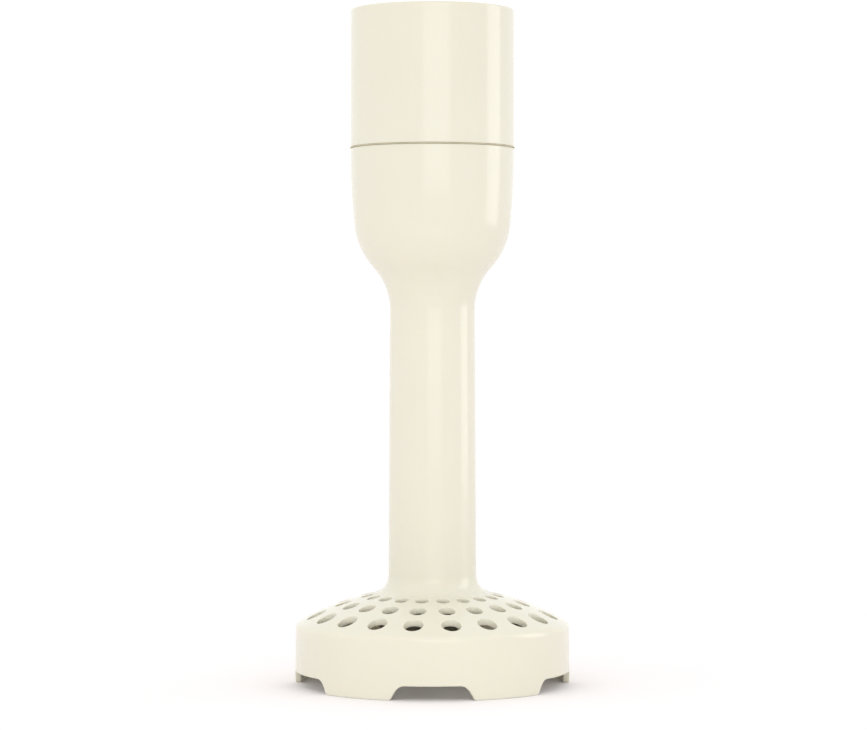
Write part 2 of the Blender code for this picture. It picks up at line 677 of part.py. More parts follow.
def gear_cover(material, parent):
    """The gearbox's bottom plate, with the ring gear's seat, the spigot and the output bush's hub."""
    seat_outer = RING_OUTER_RADIUS
    profile = [
        (seat_outer, RING_FOOT_HEIGHT - SEAT),
        (seat_outer, COVER_TOP),
        (COVER_RADIUS, COVER_TOP),
        (COVER_RADIUS, COVER_UNDERSIDE),
        (SPIGOT_RADIUS, COVER_UNDERSIDE),
        (SPIGOT_RADIUS, SPIGOT_FOOT),
        (SPIGOT_RADIUS - SPIGOT_WALL, SPIGOT_FOOT),
        (SPIGOT_RADIUS - SPIGOT_WALL, COVER_UNDERSIDE),
        (HUB_RADIUS, COVER_UNDERSIDE),
        (HUB_RADIUS, OUTPUT_HUB_FOOT),
        (BUSH_BORE, OUTPUT_HUB_FOOT),
        (BUSH_BORE, COVER_TOP),
        (RING_ROOT_RADIUS, COVER_TOP),
        (RING_ROOT_RADIUS, RING_FOOT_HEIGHT - SEAT),
    ]
    cover = turned("gear_cover", profile, material, True, INNER_STEPS, parent)
    places = [polar(SCREW_POST_PLACE, angle) for angle in thirds(-FRONT)]
    through = rods("cover_screw_holes", places, SCREW_RADIUS + FIT, COVER_UNDERSIDE - 1, COVER_TOP + 1)
    recess_top = COVER_UNDERSIDE + SCREW_HEAD_HEIGHT + SEAT
    recess_radius = SCREW_HEAD_RADIUS + 0.2
    recesses = rods("screw_recesses", places, recess_radius, COVER_UNDERSIDE - 1, recess_top, 12)
    cut(cover, through, recesses)


def gearbox_fittings(bronze, rubber, seam_rubber, steel, parent):
    flanged_bush("input_bush", INPUT_RADIUS, FLOOR_TOP + SEAT, FLOOR_UNDERSIDE - SEAT, bronze, parent)
    flange_foot = OUTPUT_HUB_FOOT - SEAT - BUSH_FLANGE_THICKNESS
    flanged_bush("output_bush", SHAFT_RADIUS, flange_foot, COVER_TOP - 0.2, bronze, parent)
    seal_inner = INPUT_COUPLER_RADIUS + SEAL_LIP_CLEARANCE
    seal_foot = FLOOR_TOP + SEAT
    seal = [
        (seal_inner + 2.2, seal_foot),
        (seal_inner, seal_foot),
        (seal_inner, seal_foot + MOTOR_SEAL_HEIGHT),
        (seal_inner + 0.9, seal_foot + MOTOR_SEAL_HEIGHT),
        (seal_inner + 1.2, seal_foot + 1.0),
        (seal_inner + 2.2, seal_foot + 1.0),
    ]
    turned("motor_side_seal", seal, rubber, True, INNER_STEPS, parent)
    gasket_levels = LEG_TOP + GASKET_CLEARANCE, HOUSING_FOOT - GASKET_CLEARANCE
    gasket = tube_profile(COLLAR_RADIUS + GASKET_STANDS_OUT, COVER_RADIUS + FIT, *gasket_levels)
    turned("joint_gasket", gasket, seam_rubber, True, ROUND_STEPS, parent)
    for index, angle in enumerate(thirds(-FRONT)):
        x, y = polar(SCREW_POST_PLACE, angle)
        head_seat = COVER_UNDERSIDE + SCREW_HEAD_HEIGHT
        screw(f"cover_screw_{index + 1}", x, y, head_seat, steel, points_up=True, parent=parent)


# ---- Gears ----


def tooth_outline(teeth, addendum, internal=False):
    """Straight-sided teeth round a pitch circle, with the first tooth on +X."""
    pitch_radius = teeth * GEAR_MODULE / 2
    outward = -1 if internal else 1
    tip = pitch_radius + outward * addendum * GEAR_MODULE
    root = pitch_radius - outward * DEDENDUM * GEAR_MODULE
    pitch = 360.0 / teeth
    points = []
    for tooth in range(teeth):
        for radius, share in (
            (root, -TOOTH_ROOT_SHARE),
            (tip, -TOOTH_TIP_SHARE),
            (tip, TOOTH_TIP_SHARE),
            (root, TOOTH_ROOT_SHARE),
        ):
            points.append(polar(radius, pitch * (tooth + share / 2)))
    return points


def planet_turn(angle):
    """How far a planet at this angle round the sun is turned, so that its teeth meet the sun's gaps."""
    return angle + 180.0 - 180.0 / PLANET_TEETH + angle * SUN_TEETH / PLANET_TEETH


def ring_gear(material, parent):
    outer = round_outline(RING_OUTER_RADIUS, ROUND_STEPS)
    teeth = tooth_outline(RING_TEETH, RING_ADDENDUM, internal=True)
    prism("ring_gear", outer, RING_FOOT_HEIGHT, FLOOR_UNDERSIDE - SEAT, teeth, material, parent)


def input_body(steel, plastic, parent):
    teeth = tooth_outline(SUN_TEETH, ADDENDUM)
    gear = prism("sun_gear_1", teeth, SUN_1_FOOT, SUN_1_FOOT + GEAR_WIDTH, None, steel, parent)
    seat_top = INPUT_COUPLER_FOOT + SPINDLE_SEAT_DEPTH
    spindle_top, spindle_foot = seat_top - SEAT, SUN_1_FOOT + MESH_JOIN
    outline = [(0, spindle_top), (INPUT_RADIUS, spindle_top), (INPUT_RADIUS, spindle_foot), (0, spindle_foot)]
    join(gear, turned("input_spindle", outline, steps=SHAFT_STEPS))
    top = INPUT_COUPLER_FOOT + INPUT_COUPLER_HEIGHT
    radius = INPUT_COUPLER_RADIUS
    profile = [
        (0, top),
        (radius - 0.8, top),
        (radius, top - 0.8),
        (radius, INPUT_COUPLER_FOOT),
        (INPUT_RADIUS + 0.2, INPUT_COUPLER_FOOT),
        (INPUT_RADIUS + 0.2, seat_top),
        (0, seat_top),
    ]
    coupler = turned("input_coupler", profile, plastic, False, SHAFT_STEPS, parent)
    star = star_outline(STAR_POINTS, STAR_TIP_RADIUS, STAR_ROOT_RADIUS)
    cut(coupler, prism("coupler_star", star, INPUT_COUPLER_FOOT + STAR_FLOOR, top + 1))


def star_outline(points, tip, root):
    """A star with straight flanks, the shape of a splined drive socket."""
    pitch = 360.0 / points
    corners = ((root, -0.30), (tip, -0.18), (tip, 0.18), (root, 0.30))
    return [polar(r, pitch * (index + share)) for index in range(points) for r, share in corners]


def carrier_pins(stage, carrier_foot, planet_foot, material, parent):
    """Three pins, from just inside the carrier's underside to just past the planets' tops."""
    foot, top = carrier_foot + PIN_FOOT_RISE, planet_foot + GEAR_WIDTH + PIN_STANDS_OUT
    for letter, angle in zip("abc", thirds(count=PLANETS)):
        made = bmesh.new()
        add_rod(made, *polar(GEAR_CENTRES, angle), PIN_RADIUS, foot, top, SCREW_STEPS)
        from_bmesh(f"planet_pin_{stage}{letter}", made, material, parent)


def carrier_1_body(steel, parent):
    """The first stage's carrier, whose hub carries the second stage's sun gear."""
    pin_hole = PIN_RADIUS + PIN_SEAT_CLEARANCE
    profile = [
        (0, CARRIER_1_TOP),
        (CARRIER_RADIUS, CARRIER_1_TOP),
        (CARRIER_RADIUS, CARRIER_1_FOOT),
        (SUN_2_HUB_RADIUS, CARRIER_1_FOOT),
        (SUN_2_HUB_RADIUS, SUN_2_FOOT),
        (0, SUN_2_FOOT),
    ]
    carrier = turned("carrier_1", profile, steel, False, INNER_STEPS, parent)
    places = [polar(GEAR_CENTRES, angle) for angle in thirds(count=PLANETS)]
    cut(carrier, rods("pin_holes_1", places, pin_hole, CARRIER_1_FOOT - 1, CARRIER_1_TOP + 1))
    bore = round_outline(SUN_2_HUB_RADIUS + 0.2, SHAFT_STEPS)
    teeth = tooth_outline(SUN_TEETH, ADDENDUM)
    prism("sun_gear_2", teeth, SUN_2_FOOT, SUN_2_TOP, bore, steel, parent)
    carrier_pins(1, CARRIER_1_FOOT, PLANET_1_FOOT, steel, parent)


def carrier_2_body(steel, parent):
    """The output carrier, whose spindle ends in the hexagonal dog that drives the leg's shaft."""
    pin_hole = PIN_RADIUS + PIN_SEAT_CLEARANCE
    spindle_foot = COUPLING_TOP + 0.5
    profile = [
        (0, CARRIER_2_TOP),
        (CARRIER_RADIUS, CARRIER_2_TOP),
        (CARRIER_RADIUS, CARRIER_2_FOOT),
        (SHAFT_RADIUS, CARRIER_2_FOOT),
        (SHAFT_RADIUS, spindle_foot),
        (0, spindle_foot),
    ]
    carrier = turned("carrier_2", profile, steel, False, SHAFT_STEPS, parent)
    join(carrier, hexagon("output_dog", HEX_RADIUS, DOG_FOOT, spindle_foot + MESH_JOIN))
    places = [polar(GEAR_CENTRES, angle) for angle in thirds(count=PLANETS)]
    cut(carrier, rods("pin_holes_2", places, pin_hole, CARRIER_2_FOOT - 1, CARRIER_2_TOP + 1))
    carrier_pins(2, CARRIER_2_FOOT, PLANET_2_FOOT, steel, parent)
    planet_tip = GEAR_MODULE * (PLANET_TEETH / 2 + ADDENDUM)
    washer_levels = WASHER_FOOT, WASHER_FOOT + WASHER_THICKNESS
    washer = tube_profile(GEAR_CENTRES - planet_tip - WASHER_TOOTH_GAP, 1.2, *washer_levels)
    turned("stage_washer", washer, steel, True, SHAFT_STEPS, parent)


def planets(stage, foot, material, carrier):
    """Three planets, each hanging from an empty on its own pin."""
    teeth = tooth_outline(PLANET_TEETH, ADDENDUM)
    bore = round_outline(PIN_RADIUS + PIN_CLEARANCE, SCREW_STEPS)
    for letter, angle in zip("abc", thirds(count=PLANETS)):
        axis = body(f"planet_{stage}{letter}_axis", *polar(GEAR_CENTRES, angle), carrier)
        name = f"planet_gear_{stage}{letter}"
        gear = prism(name, teeth, foot, foot + GEAR_WIDTH, bore, material, axis)
        gear.rotation_euler.z = math.radians(planet_turn(angle))


# ---- Drive shaft and paddle ----


def drive_shaft(steel, plastic, parent):
    groove = SHAFT_RADIUS - 0.6
    groove_foot = CIRCLIP_FOOT - RUNNING_CLEARANCE
    groove_top = CIRCLIP_FOOT + CIRCLIP_THICKNESS + RUNNING_CLEARANCE
    hex_top = PADDLE_HUB_TOP + SEAT
    profile = [
        (0, SHAFT_TOP),
        (SHAFT_RADIUS - 0.5, SHAFT_TOP),
        (SHAFT_RADIUS, SHAFT_TOP - 0.5),
        (SHAFT_RADIUS, groove_top),
        (groove, groove_top),
        (groove, groove_foot),
        (SHAFT_RADIUS, groove_foot),
        (SHAFT_RADIUS, hex_top),
        (0, hex_top),
    ]
    shaft = turned("drive_shaft", profile, steel, False, SHAFT_STEPS, parent)
    join(shaft, hexagon("shaft_hex", HEX_RADIUS, SHAFT_FOOT, hex_top + MESH_JOIN))
    clip_top = CIRCLIP_FOOT + CIRCLIP_THICKNESS
    clip = tube_profile(BUSH_RADIUS - FIT, groove + 0.2, CIRCLIP_FOOT, clip_top)
    circlip = turned("shaft_circlip", clip, steel, True, SHAFT_STEPS, parent)
    gap = [(0, -1), (BUSH_RADIUS, -1), (BUSH_RADIUS, 1), (0, 1)]
    cut(circlip, prism("circlip_gap", gap, CIRCLIP_FOOT - 1, clip_top + 1))
    shaft_coupling(plastic, parent)


def shaft_coupling(material, parent):
    """The cup on the shaft's top: a bore for the shaft below and a hexagonal socket above."""
    outside = [
        (0, COUPLING_TOP),
        (COUPLING_RADIUS - 1.0, COUPLING_TOP),
        (COUPLING_RADIUS, COUPLING_TOP - 1.0),
        (COUPLING_RADIUS, COUPLING_FOOT),
        (SHAFT_RADIUS + 0.2, COUPLING_FOOT),
        (SHAFT_RADIUS + 0.2, SHAFT_TOP + SEAT),
        (0, SHAFT_TOP + SEAT),
    ]
    coupling = turned("shaft_coupling", outside, material, False, SHAFT_STEPS, parent)
    cut(coupling, hexagon("dog_socket", HEX_SOCKET_RADIUS, DOG_SOCKET_FOOT, COUPLING_TOP + 1))


def blade_levels(steps=5):
    """Radius, top and foot along a blade: low under the boss, then close under the dome."""
    under_boss = PADDLE_HUB_TOP - SEAT
    root_foot = under_boss - BLADE_HEIGHT * BLADE_ROOT_SHARE
    clear = LOWER_BOSS_RADIUS + 0.8
    levels = [(radius, under_boss, root_foot) for radius in (PADDLE_HUB_RADIUS - 2.0, clear)]
    start = clear + 0.6
    for step in range(steps + 1):
        radius = start + (PADDLE_RADIUS - start) * step / steps
        top = DOME_CENTRE + math.sqrt(DOME_UNDERSIDE**2 - radius**2) - PADDLE_DOME_CLEARANCE
        levels.append((radius, top, top - BLADE_HEIGHT))
    return levels


def blade_shape(number, start_angle):
    """A swept blade that leans forward at the top, lofted from four-cornered sections."""
    made = bmesh.new()
    reach = PADDLE_RADIUS - PADDLE_HUB_RADIUS
    high, low = BLADE_LEAN / 2, -BLADE_LEAN / 2
    half = BLADE_THICKNESS / 2
    rings = []
    for radius, top, foot in blade_levels():
        angle = start_angle - BLADE_SWEEP * max(0.0, radius - PADDLE_HUB_RADIUS) / reach
        cos, sin = polar(1.0, angle)
        ring = []
        for across, z in ((high - half, top), (high + half, top), (low + half, foot), (low - half, foot)):
            corner = Vector((radius * cos - across * sin, radius * sin + across * cos, z))
            ring.append(made.verts.new(corner * MM))
        rings.append(ring)
    made.faces.new(rings[0])
    made.faces.new(rings[-1][::-1])
    for near, far in zip(rings, rings[1:]):
        for index in range(4):
            following = (index + 1) % 4
            made.faces.new((near[index], far[index], far[following], near[following]))
    return from_bmesh(f"blade_{number}", made)


def paddle(material, parent):
    profile = [
        (0, PADDLE_HUB_TOP),
        (PADDLE_HUB_RADIUS - 0.8, PADDLE_HUB_TOP),
        (PADDLE_HUB_RADIUS, PADDLE_HUB_TOP - 0.8),
        (PADDLE_HUB_RADIUS, PADDLE_FLOOR_HEIGHT + 2.0),
        (PADDLE_HUB_RADIUS - 2.0, PADDLE_FLOOR_HEIGHT),
        (0, PADDLE_FLOOR_HEIGHT),
    ]
    made = turned("paddle", profile, material, False, SHAFT_STEPS, parent)
    for number, angle in enumerate(thirds(FRONT, PADDLE_BLADES)):
        join(made, blade_shape(number + 1, angle))
    cut(made, hexagon("paddle_bore", HEX_SOCKET_RADIUS, PADDLE_BORE_FOOT, PADDLE_HUB_TOP + 1))


def main():
    cream = plain_material("cream_plastic", CREAM, 0.25)
    seam_rubber = plain_material("seam_rubber", KHAKI_RUBBER, 0.6)
    rubber = plain_material("black_rubber", BLACK_RUBBER, 0.7)
    steel = plain_material("steel", STEEL, 0.3, 1.0)
    bronze = plain_material("bronze", BRONZE, 0.45, 1.0)
    white = plain_material("white_plastic", WHITE_PLASTIC, 0.45)
    grey = plain_material("grey_plastic", GREY_PLASTIC, 0.45)

    masher_leg(cream)
    leg_fittings(bronze, rubber, steel, white)

    gearbox = body("gearbox")
    gearbox_housing(cream, gearbox)
    gear_cover(white, gearbox)
    ring_gear(white, gearbox)
    gearbox_fittings(bronze, rubber, seam_rubber, steel, gearbox)

    input_body(steel, grey, body("input", parent=gearbox))
    first = body("first_carrier", parent=gearbox)
    carrier_1_body(steel, first)
    planets(1, PLANET_1_FOOT, white, first)
    second = body("second_carrier", parent=gearbox)
    carrier_2_body(steel, second)
    planets(2, PLANET_2_FOOT, white, second)

    shaft = body("shaft")
    drive_shaft(steel, grey, shaft)
    paddle(grey, body("paddle_axis", parent=shaft))


main()
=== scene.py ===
"""The looks of a hand blender's masher attachment, built round its fixed frame of working parts.

It is laid out as an add-on and run as a script. Lengths in the shape functions are in millimetres, and the
properties hold them in metres, as Blender does. +Z runs up the leg, and -Y is the front.
"""

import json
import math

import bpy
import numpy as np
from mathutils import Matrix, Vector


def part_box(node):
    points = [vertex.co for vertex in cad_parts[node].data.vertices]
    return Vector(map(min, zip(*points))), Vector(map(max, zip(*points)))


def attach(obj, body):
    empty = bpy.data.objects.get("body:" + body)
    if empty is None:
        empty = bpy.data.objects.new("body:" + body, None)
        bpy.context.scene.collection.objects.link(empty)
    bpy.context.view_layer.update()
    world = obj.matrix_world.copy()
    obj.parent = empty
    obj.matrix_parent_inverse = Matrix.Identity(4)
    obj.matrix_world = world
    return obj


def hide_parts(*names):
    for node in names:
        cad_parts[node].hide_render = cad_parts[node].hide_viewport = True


bl_info = {
    "name": "Masher Attachment",
    "version": (1, 0, 0),
    "blender": (4, 5, 0),
    "location": "3D View > Sidebar > Masher",
    "description": "Builds the moulded, turned and rubber pieces of a masher attachment",
    "category": "Add Mesh",
}

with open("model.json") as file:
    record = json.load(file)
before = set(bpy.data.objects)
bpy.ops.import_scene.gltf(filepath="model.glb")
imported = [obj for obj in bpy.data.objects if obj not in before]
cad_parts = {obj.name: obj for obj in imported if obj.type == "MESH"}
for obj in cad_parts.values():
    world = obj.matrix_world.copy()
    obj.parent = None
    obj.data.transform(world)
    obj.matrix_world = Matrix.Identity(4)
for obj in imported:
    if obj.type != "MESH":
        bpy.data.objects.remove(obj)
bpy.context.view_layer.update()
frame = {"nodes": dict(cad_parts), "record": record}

MM = 0.001
FULL_TURN = 2 * np.pi
COLUMNS = 300
SMALL_COLUMNS = 96
HOLD = 0.35
SHARP_ANGLE = 42.0
ANGLE_SAMPLES = 3601

FRONT = -90.0
RIM_WALL = 2.0
LOWER_BOSS_RADIUS = 11.65
BUSH_SEAT = 6.55
HUB_WALL = 2.1
HEX_RADIUS = 3.9
HEX_SOCKET_RADIUS = 4.25
SCREW_NUMBERS = (1, 2, 3)


def node_span(node):
    """The lowest and the highest corner of a working part, in millimetres."""
    low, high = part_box(node)
    return np.array(low) / MM, np.array(high) / MM


RECORD = frame["record"]
BODY_OF = {node: body for body, nodes in RECORD["behaviour"]["bodies"].items() for node in nodes}
SLOT_OF = {part["node"]: part["material_slot"] for part in RECORD["subparts"]}
LEG_HIGH = node_span("masher_leg")[1]
HOUSING_LOW, HOUSING_HIGH = node_span("gearbox_housing")
LEG_TOP = LEG_HIGH[2]
HOUSING_FOOT, HOUSING_TOP = HOUSING_LOW[2], HOUSING_HIGH[2]


# ---- Sizes and colours that a user would change ----


def length(name, description, default, least):
    """A length that starts at a default and stops at a least value, both in metres."""
    return bpy.props.FloatProperty(
        name=name, description=description, default=default, min=least, unit="LENGTH"
    )


def colour(name, description, *default):
    """A colour that starts at three linear values."""
    return bpy.props.FloatVectorProperty(
        name=name, description=description, subtype="COLOR", size=3, min=0.0, max=1.0, default=default
    )


class MasherSizes(bpy.types.PropertyGroup):
    """The driving sizes of the moulded pieces"""

    collar_radius: length("Collar radius", "Outer radius of the gearbox collar", HOUSING_HIGH[0] * MM, 0.02)
    foot_radius: length("Foot radius", "Outer radius of the foot where it stands", LEG_HIGH[0] * MM, 0.03)
    wall: length("Leg wall", "Thickness of the leg's moulded wall", 0.0024, 0.001)
    notch_height: length("Notch height", "How high the notches in the foot's rim are", 0.0051, 0.0)
    hole_lip: length("Hole lip", "Rounding of the edges of the holes in the dome", 0.0003, 0.00005)


class MasherColours(bpy.types.PropertyGroup):
    """The colours of the finishes"""

    cream: colour("Cream plastic", "The glossy moulded casing", 0.744, 0.718, 0.594)
    white: colour("White plastic", "The gears, the gear cover and the bearing carrier", 0.72, 0.71, 0.67)
    grey: colour("Grey plastic", "The paddle and the couplings", 0.15, 0.14, 0.10)
    seam: colour("Seam rubber", "The ring between the collar and the leg", 0.58, 0.54, 0.37)


# ---- Surfaces: arrays of points with rows down an outline and columns round it ----


def softened(corners, steps=4, closed=False):
    """An outline (r, z) whose corners are rounded. Each corner is (r, z, rounding).

    A corner's arc touches both its sides at rounding * tan(turn / 2) from the corner. Its points are the
    arc's centre plus the rounding times a direction that turns evenly from one touch point to the other.
    A point is added on each side close to the arc, so that the flat stretches shade flat.
    """
    data = np.array([(*corner, 0.0)[:3] for corner in corners], float)
    points, rounding = data[:, :2], data[:, 2]
    ahead = np.roll(points, -1, 0) - points
    if not closed:
        ahead[-1] = ahead[-2]
    behind = np.roll(ahead, 1, 0)
    if not closed:
        behind[0] = ahead[0]
    lengths = np.linalg.norm(ahead, axis=1)
    ahead_unit = ahead / lengths[:, None]
    behind_unit = behind / np.linalg.norm(behind, axis=1)[:, None]
    turn = np.arccos(np.clip((ahead_unit * behind_unit).sum(1), -1, 1))
    reach = rounding * np.tan(turn / 2)
    free = lengths - reach - np.roll(reach, -1)
    hold_ahead = np.where(rounding > 0, np.minimum(HOLD, 0.3 * free), 0.0)
    hold_behind = np.where(rounding > 0, np.minimum(HOLD, 0.3 * np.roll(free, 1)), 0.0)
    start = points - behind_unit * reach[:, None]
    end = points + ahead_unit * reach[:, None]
    inward = ahead_unit - behind_unit
    inward /= np.maximum(np.linalg.norm(inward, axis=1), 1e-9)[:, None]
    centre = points + inward * (rounding / np.maximum(np.cos(turn / 2), 1e-9))[:, None]
    share = np.linspace(0, 1, steps + 1)[None, :, None]
    swing = np.maximum(turn, 1e-9)[:, None, None]
    weights = np.sin((1 - share) * swing) / np.sin(swing), np.sin(share * swing) / np.sin(swing)
    arcs = centre[:, None] + (start - centre)[:, None] * weights[0] + (end - centre)[:, None] * weights[1]
    before = (start - behind_unit * hold_behind[:, None])[:, None]
    after = (end + ahead_unit * hold_ahead[:, None])[:, None]
    outline = np.concatenate((before, arcs, after), axis=1).reshape(-1, 2)
    keep = np.ones(len(outline), bool)
    keep[1:] = np.linalg.norm(np.diff(outline, axis=0), axis=1) > 1e-5
    return outline[keep]


def arc(centre, radius, start, end, steps):
    """Points on a circle: its centre plus the radius times the cosine and sine of evenly spaced degrees."""
    angle = np.radians(np.linspace(start, end, steps + 1))
    return np.column_stack((centre[0] + radius * np.cos(angle), centre[1] + radius * np.sin(angle)))


def even_angles(columns=COLUMNS):
    return np.arange(columns) * (FULL_TURN / columns)


def crowded_angles(middles, half, crowding, columns=COLUMNS):
    """Column angles that crowd together within half degrees of each of the middles.

    The columns' density round the turn is one, and the crowding more near a middle. The angles are evenly
    spaced steps of the running sum of that density, read backwards.
    """
    degrees = np.linspace(0, 360, ANGLE_SAMPLES)
    away = np.abs((degrees[:, None] - np.array(middles) + 180) % 360 - 180).min(axis=1)
    density = 1 + crowding / (1 + np.exp((away - half) * 2))
    total = np.concatenate(((0,), np.cumsum((density[1:] + density[:-1]) / 2)))
    return np.radians(np.interp(np.arange(columns) * total[-1] / columns, total, degrees))


def smooth_step(share):
    """A share from 0 to 1 that leaves 0 and comes to 1 gently."""
    return share**2 * (3 - 2 * share)


def round_surface(radius, angle, height):
    """Points round the Z axis: the radius times the angle's cosine and sine, and the height."""
    radius, angle, height = np.broadcast_arrays(radius, angle, height)
    return np.stack((radius * np.cos(angle), radius * np.sin(angle), height), axis=-1)


def turned(outline, columns=COLUMNS):
    """An outline (r, z) turned once round the Z axis."""
    return round_surface(outline[:, 0, None], even_angles(columns)[None, :], outline[:, 1, None])


def turned_ring(corners, columns=SMALL_COLUMNS):
    """A closed ring: its softened outline turned once round the Z axis, and joined to its own start."""
    return turned(softened(corners, steps=3, closed=True), columns), True


def capped(rings):
    """Rings of points, one above the other, closed by a point in the middle of the first and of the last."""
    middles = rings.mean(axis=1, keepdims=True)
    ends = middles + 0 * rings
    return np.concatenate((ends[:1], rings, ends[-1:]))


def column(outline, levels):
    """A flat outline (x, y) carried up through the levels (height, growth), and capped.

    At each level every point moves out from the axis by the growth, so that a socket's mouth can flare.
    """
    length = np.linalg.norm(outline, axis=1)[None, :, None]
    height, growth = np.array(levels, float).T[:, :, None, None]
    plan = outline[None] * (1 + growth / length)
    return capped(np.concatenate((plan, height + 0 * plan[..., :1]), axis=-1))


def polygon(radii, turns):
    """Corners (x, y) at the radii and at the shares of a full turn."""
    angle = FULL_TURN * np.array(turns)
    return np.array(radii)[:, None] * np.stack((np.cos(angle), np.sin(angle)), axis=-1)


def hexagon(radius):
    return polygon(np.full(6, radius), np.arange(6) / 6)


def quads_of(rows, columns, wrap_rows, first):
    """The four corner numbers of each cell of a grid whose columns wrap round."""
    numbers = first + np.arange(rows * columns).reshape(rows, columns)
    if wrap_rows:
        numbers = np.concatenate((numbers, numbers[:1]))
    right = np.roll(numbers, -1, axis=1)
    return np.stack((numbers[:-1], numbers[1:], right[1:], right[:-1]), axis=-1).reshape(-1, 4)


def welded(points, quads):
    """Joins points that coincide to a thousandth of a millimetre. Returns points, quads and triangles."""
    rounded = np.round(points * 1000).astype(np.int64)
    _, first, index = np.unique(rounded, axis=0, return_index=True, return_inverse=True)
    quads = index.reshape(-1)[quads]
    same = quads == np.roll(quads, -1, axis=1)
    whole = quads[~same.any(1)]
    pinched = quads[same.sum(1) == 1]
    gone = same[same.sum(1) == 1]
    triangles = pinched[~gone].reshape(-1, 3)
    return points[first], whole, triangles


def placed_mesh(name, points, quads, triangles):
    """A mesh object in the scene, from points in millimetres and its faces of four and of three sides."""
    mesh = bpy.data.meshes.new(name)
    mesh.from_pydata(points * MM, [], quads.tolist() + triangles.tolist())
    made = bpy.data.objects.new(name, mesh)
    bpy.context.scene.collection.objects.link(made)
    return made


def closed_mesh(name, grids):
    """A mesh object from grids of points in millimetres whose borders meet, with its faces outwards.

    Each grid is an array of rows, columns and x, y, z, and its columns wrap round. A pair (grid, True) has
    rows that wrap round too. The faces are turned where the volume that they enclose comes out negative.
    """
    clouds, faces, first = [], [], 0
    for entry in grids:
        grid, wrap_rows = entry if isinstance(entry, tuple) else (entry, False)
        rows, columns = grid.shape[:2]
        clouds.append(grid.reshape(-1, 3))
        faces.append(quads_of(rows, columns, wrap_rows, first))
        first += rows * columns
    points, quads, triangles = welded(np.concatenate(clouds), np.concatenate(faces))
    corners = np.concatenate((quads[:, :3], quads[:, [0, 2, 3]], triangles))
    one, two, three = points[corners.T]
    volume = np.einsum("ij,ij->i", one, np.cross(two, three))
    if volume.sum() < 0:
        quads, triangles = quads[:, ::-1], triangles[:, ::-1]
    return placed_mesh(name, points, quads, triangles)


def combine(piece, tool_grids, operation):
    """Cuts each closed tool out of a piece, or joins it on, by an exact Boolean that is applied at once."""
    for grid in tool_grids:
        tool = closed_mesh("tool", [grid])
        modifier = piece.modifiers.new("combine", "BOOLEAN")
        modifier.operation = operation
        modifier.solver = "EXACT"
        modifier.object = tool
        seen = piece.evaluated_get(bpy.context.evaluated_depsgraph_get())
        mesh = bpy.data.meshes.new_from_object(seen)
        piece.modifiers.clear()
        piece.data = mesh
        bpy.data.objects.remove(tool)


def make_piece(name, grids, node, joined=(), cut=()):
    """One closed piece in place of a working part, with its body and its finish."""
    piece = closed_mesh(name, grids)
    combine(piece, joined, "UNION")
    combine(piece, cut, "DIFFERENCE")
    mesh = piece.data
    mesh.name = name
    mesh.polygons.foreach_set("use_smooth", np.ones(len(mesh.polygons), bool))
    mesh.set_sharp_from_angle(angle=math.radians(SHARP_ANGLE))
    mesh.update()
    mesh.materials.clear()
    mesh.materials.append(finish(SLOT_OF[node]))
    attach(piece, BODY_OF[node])
    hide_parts(node)


# ---- Finishes ----


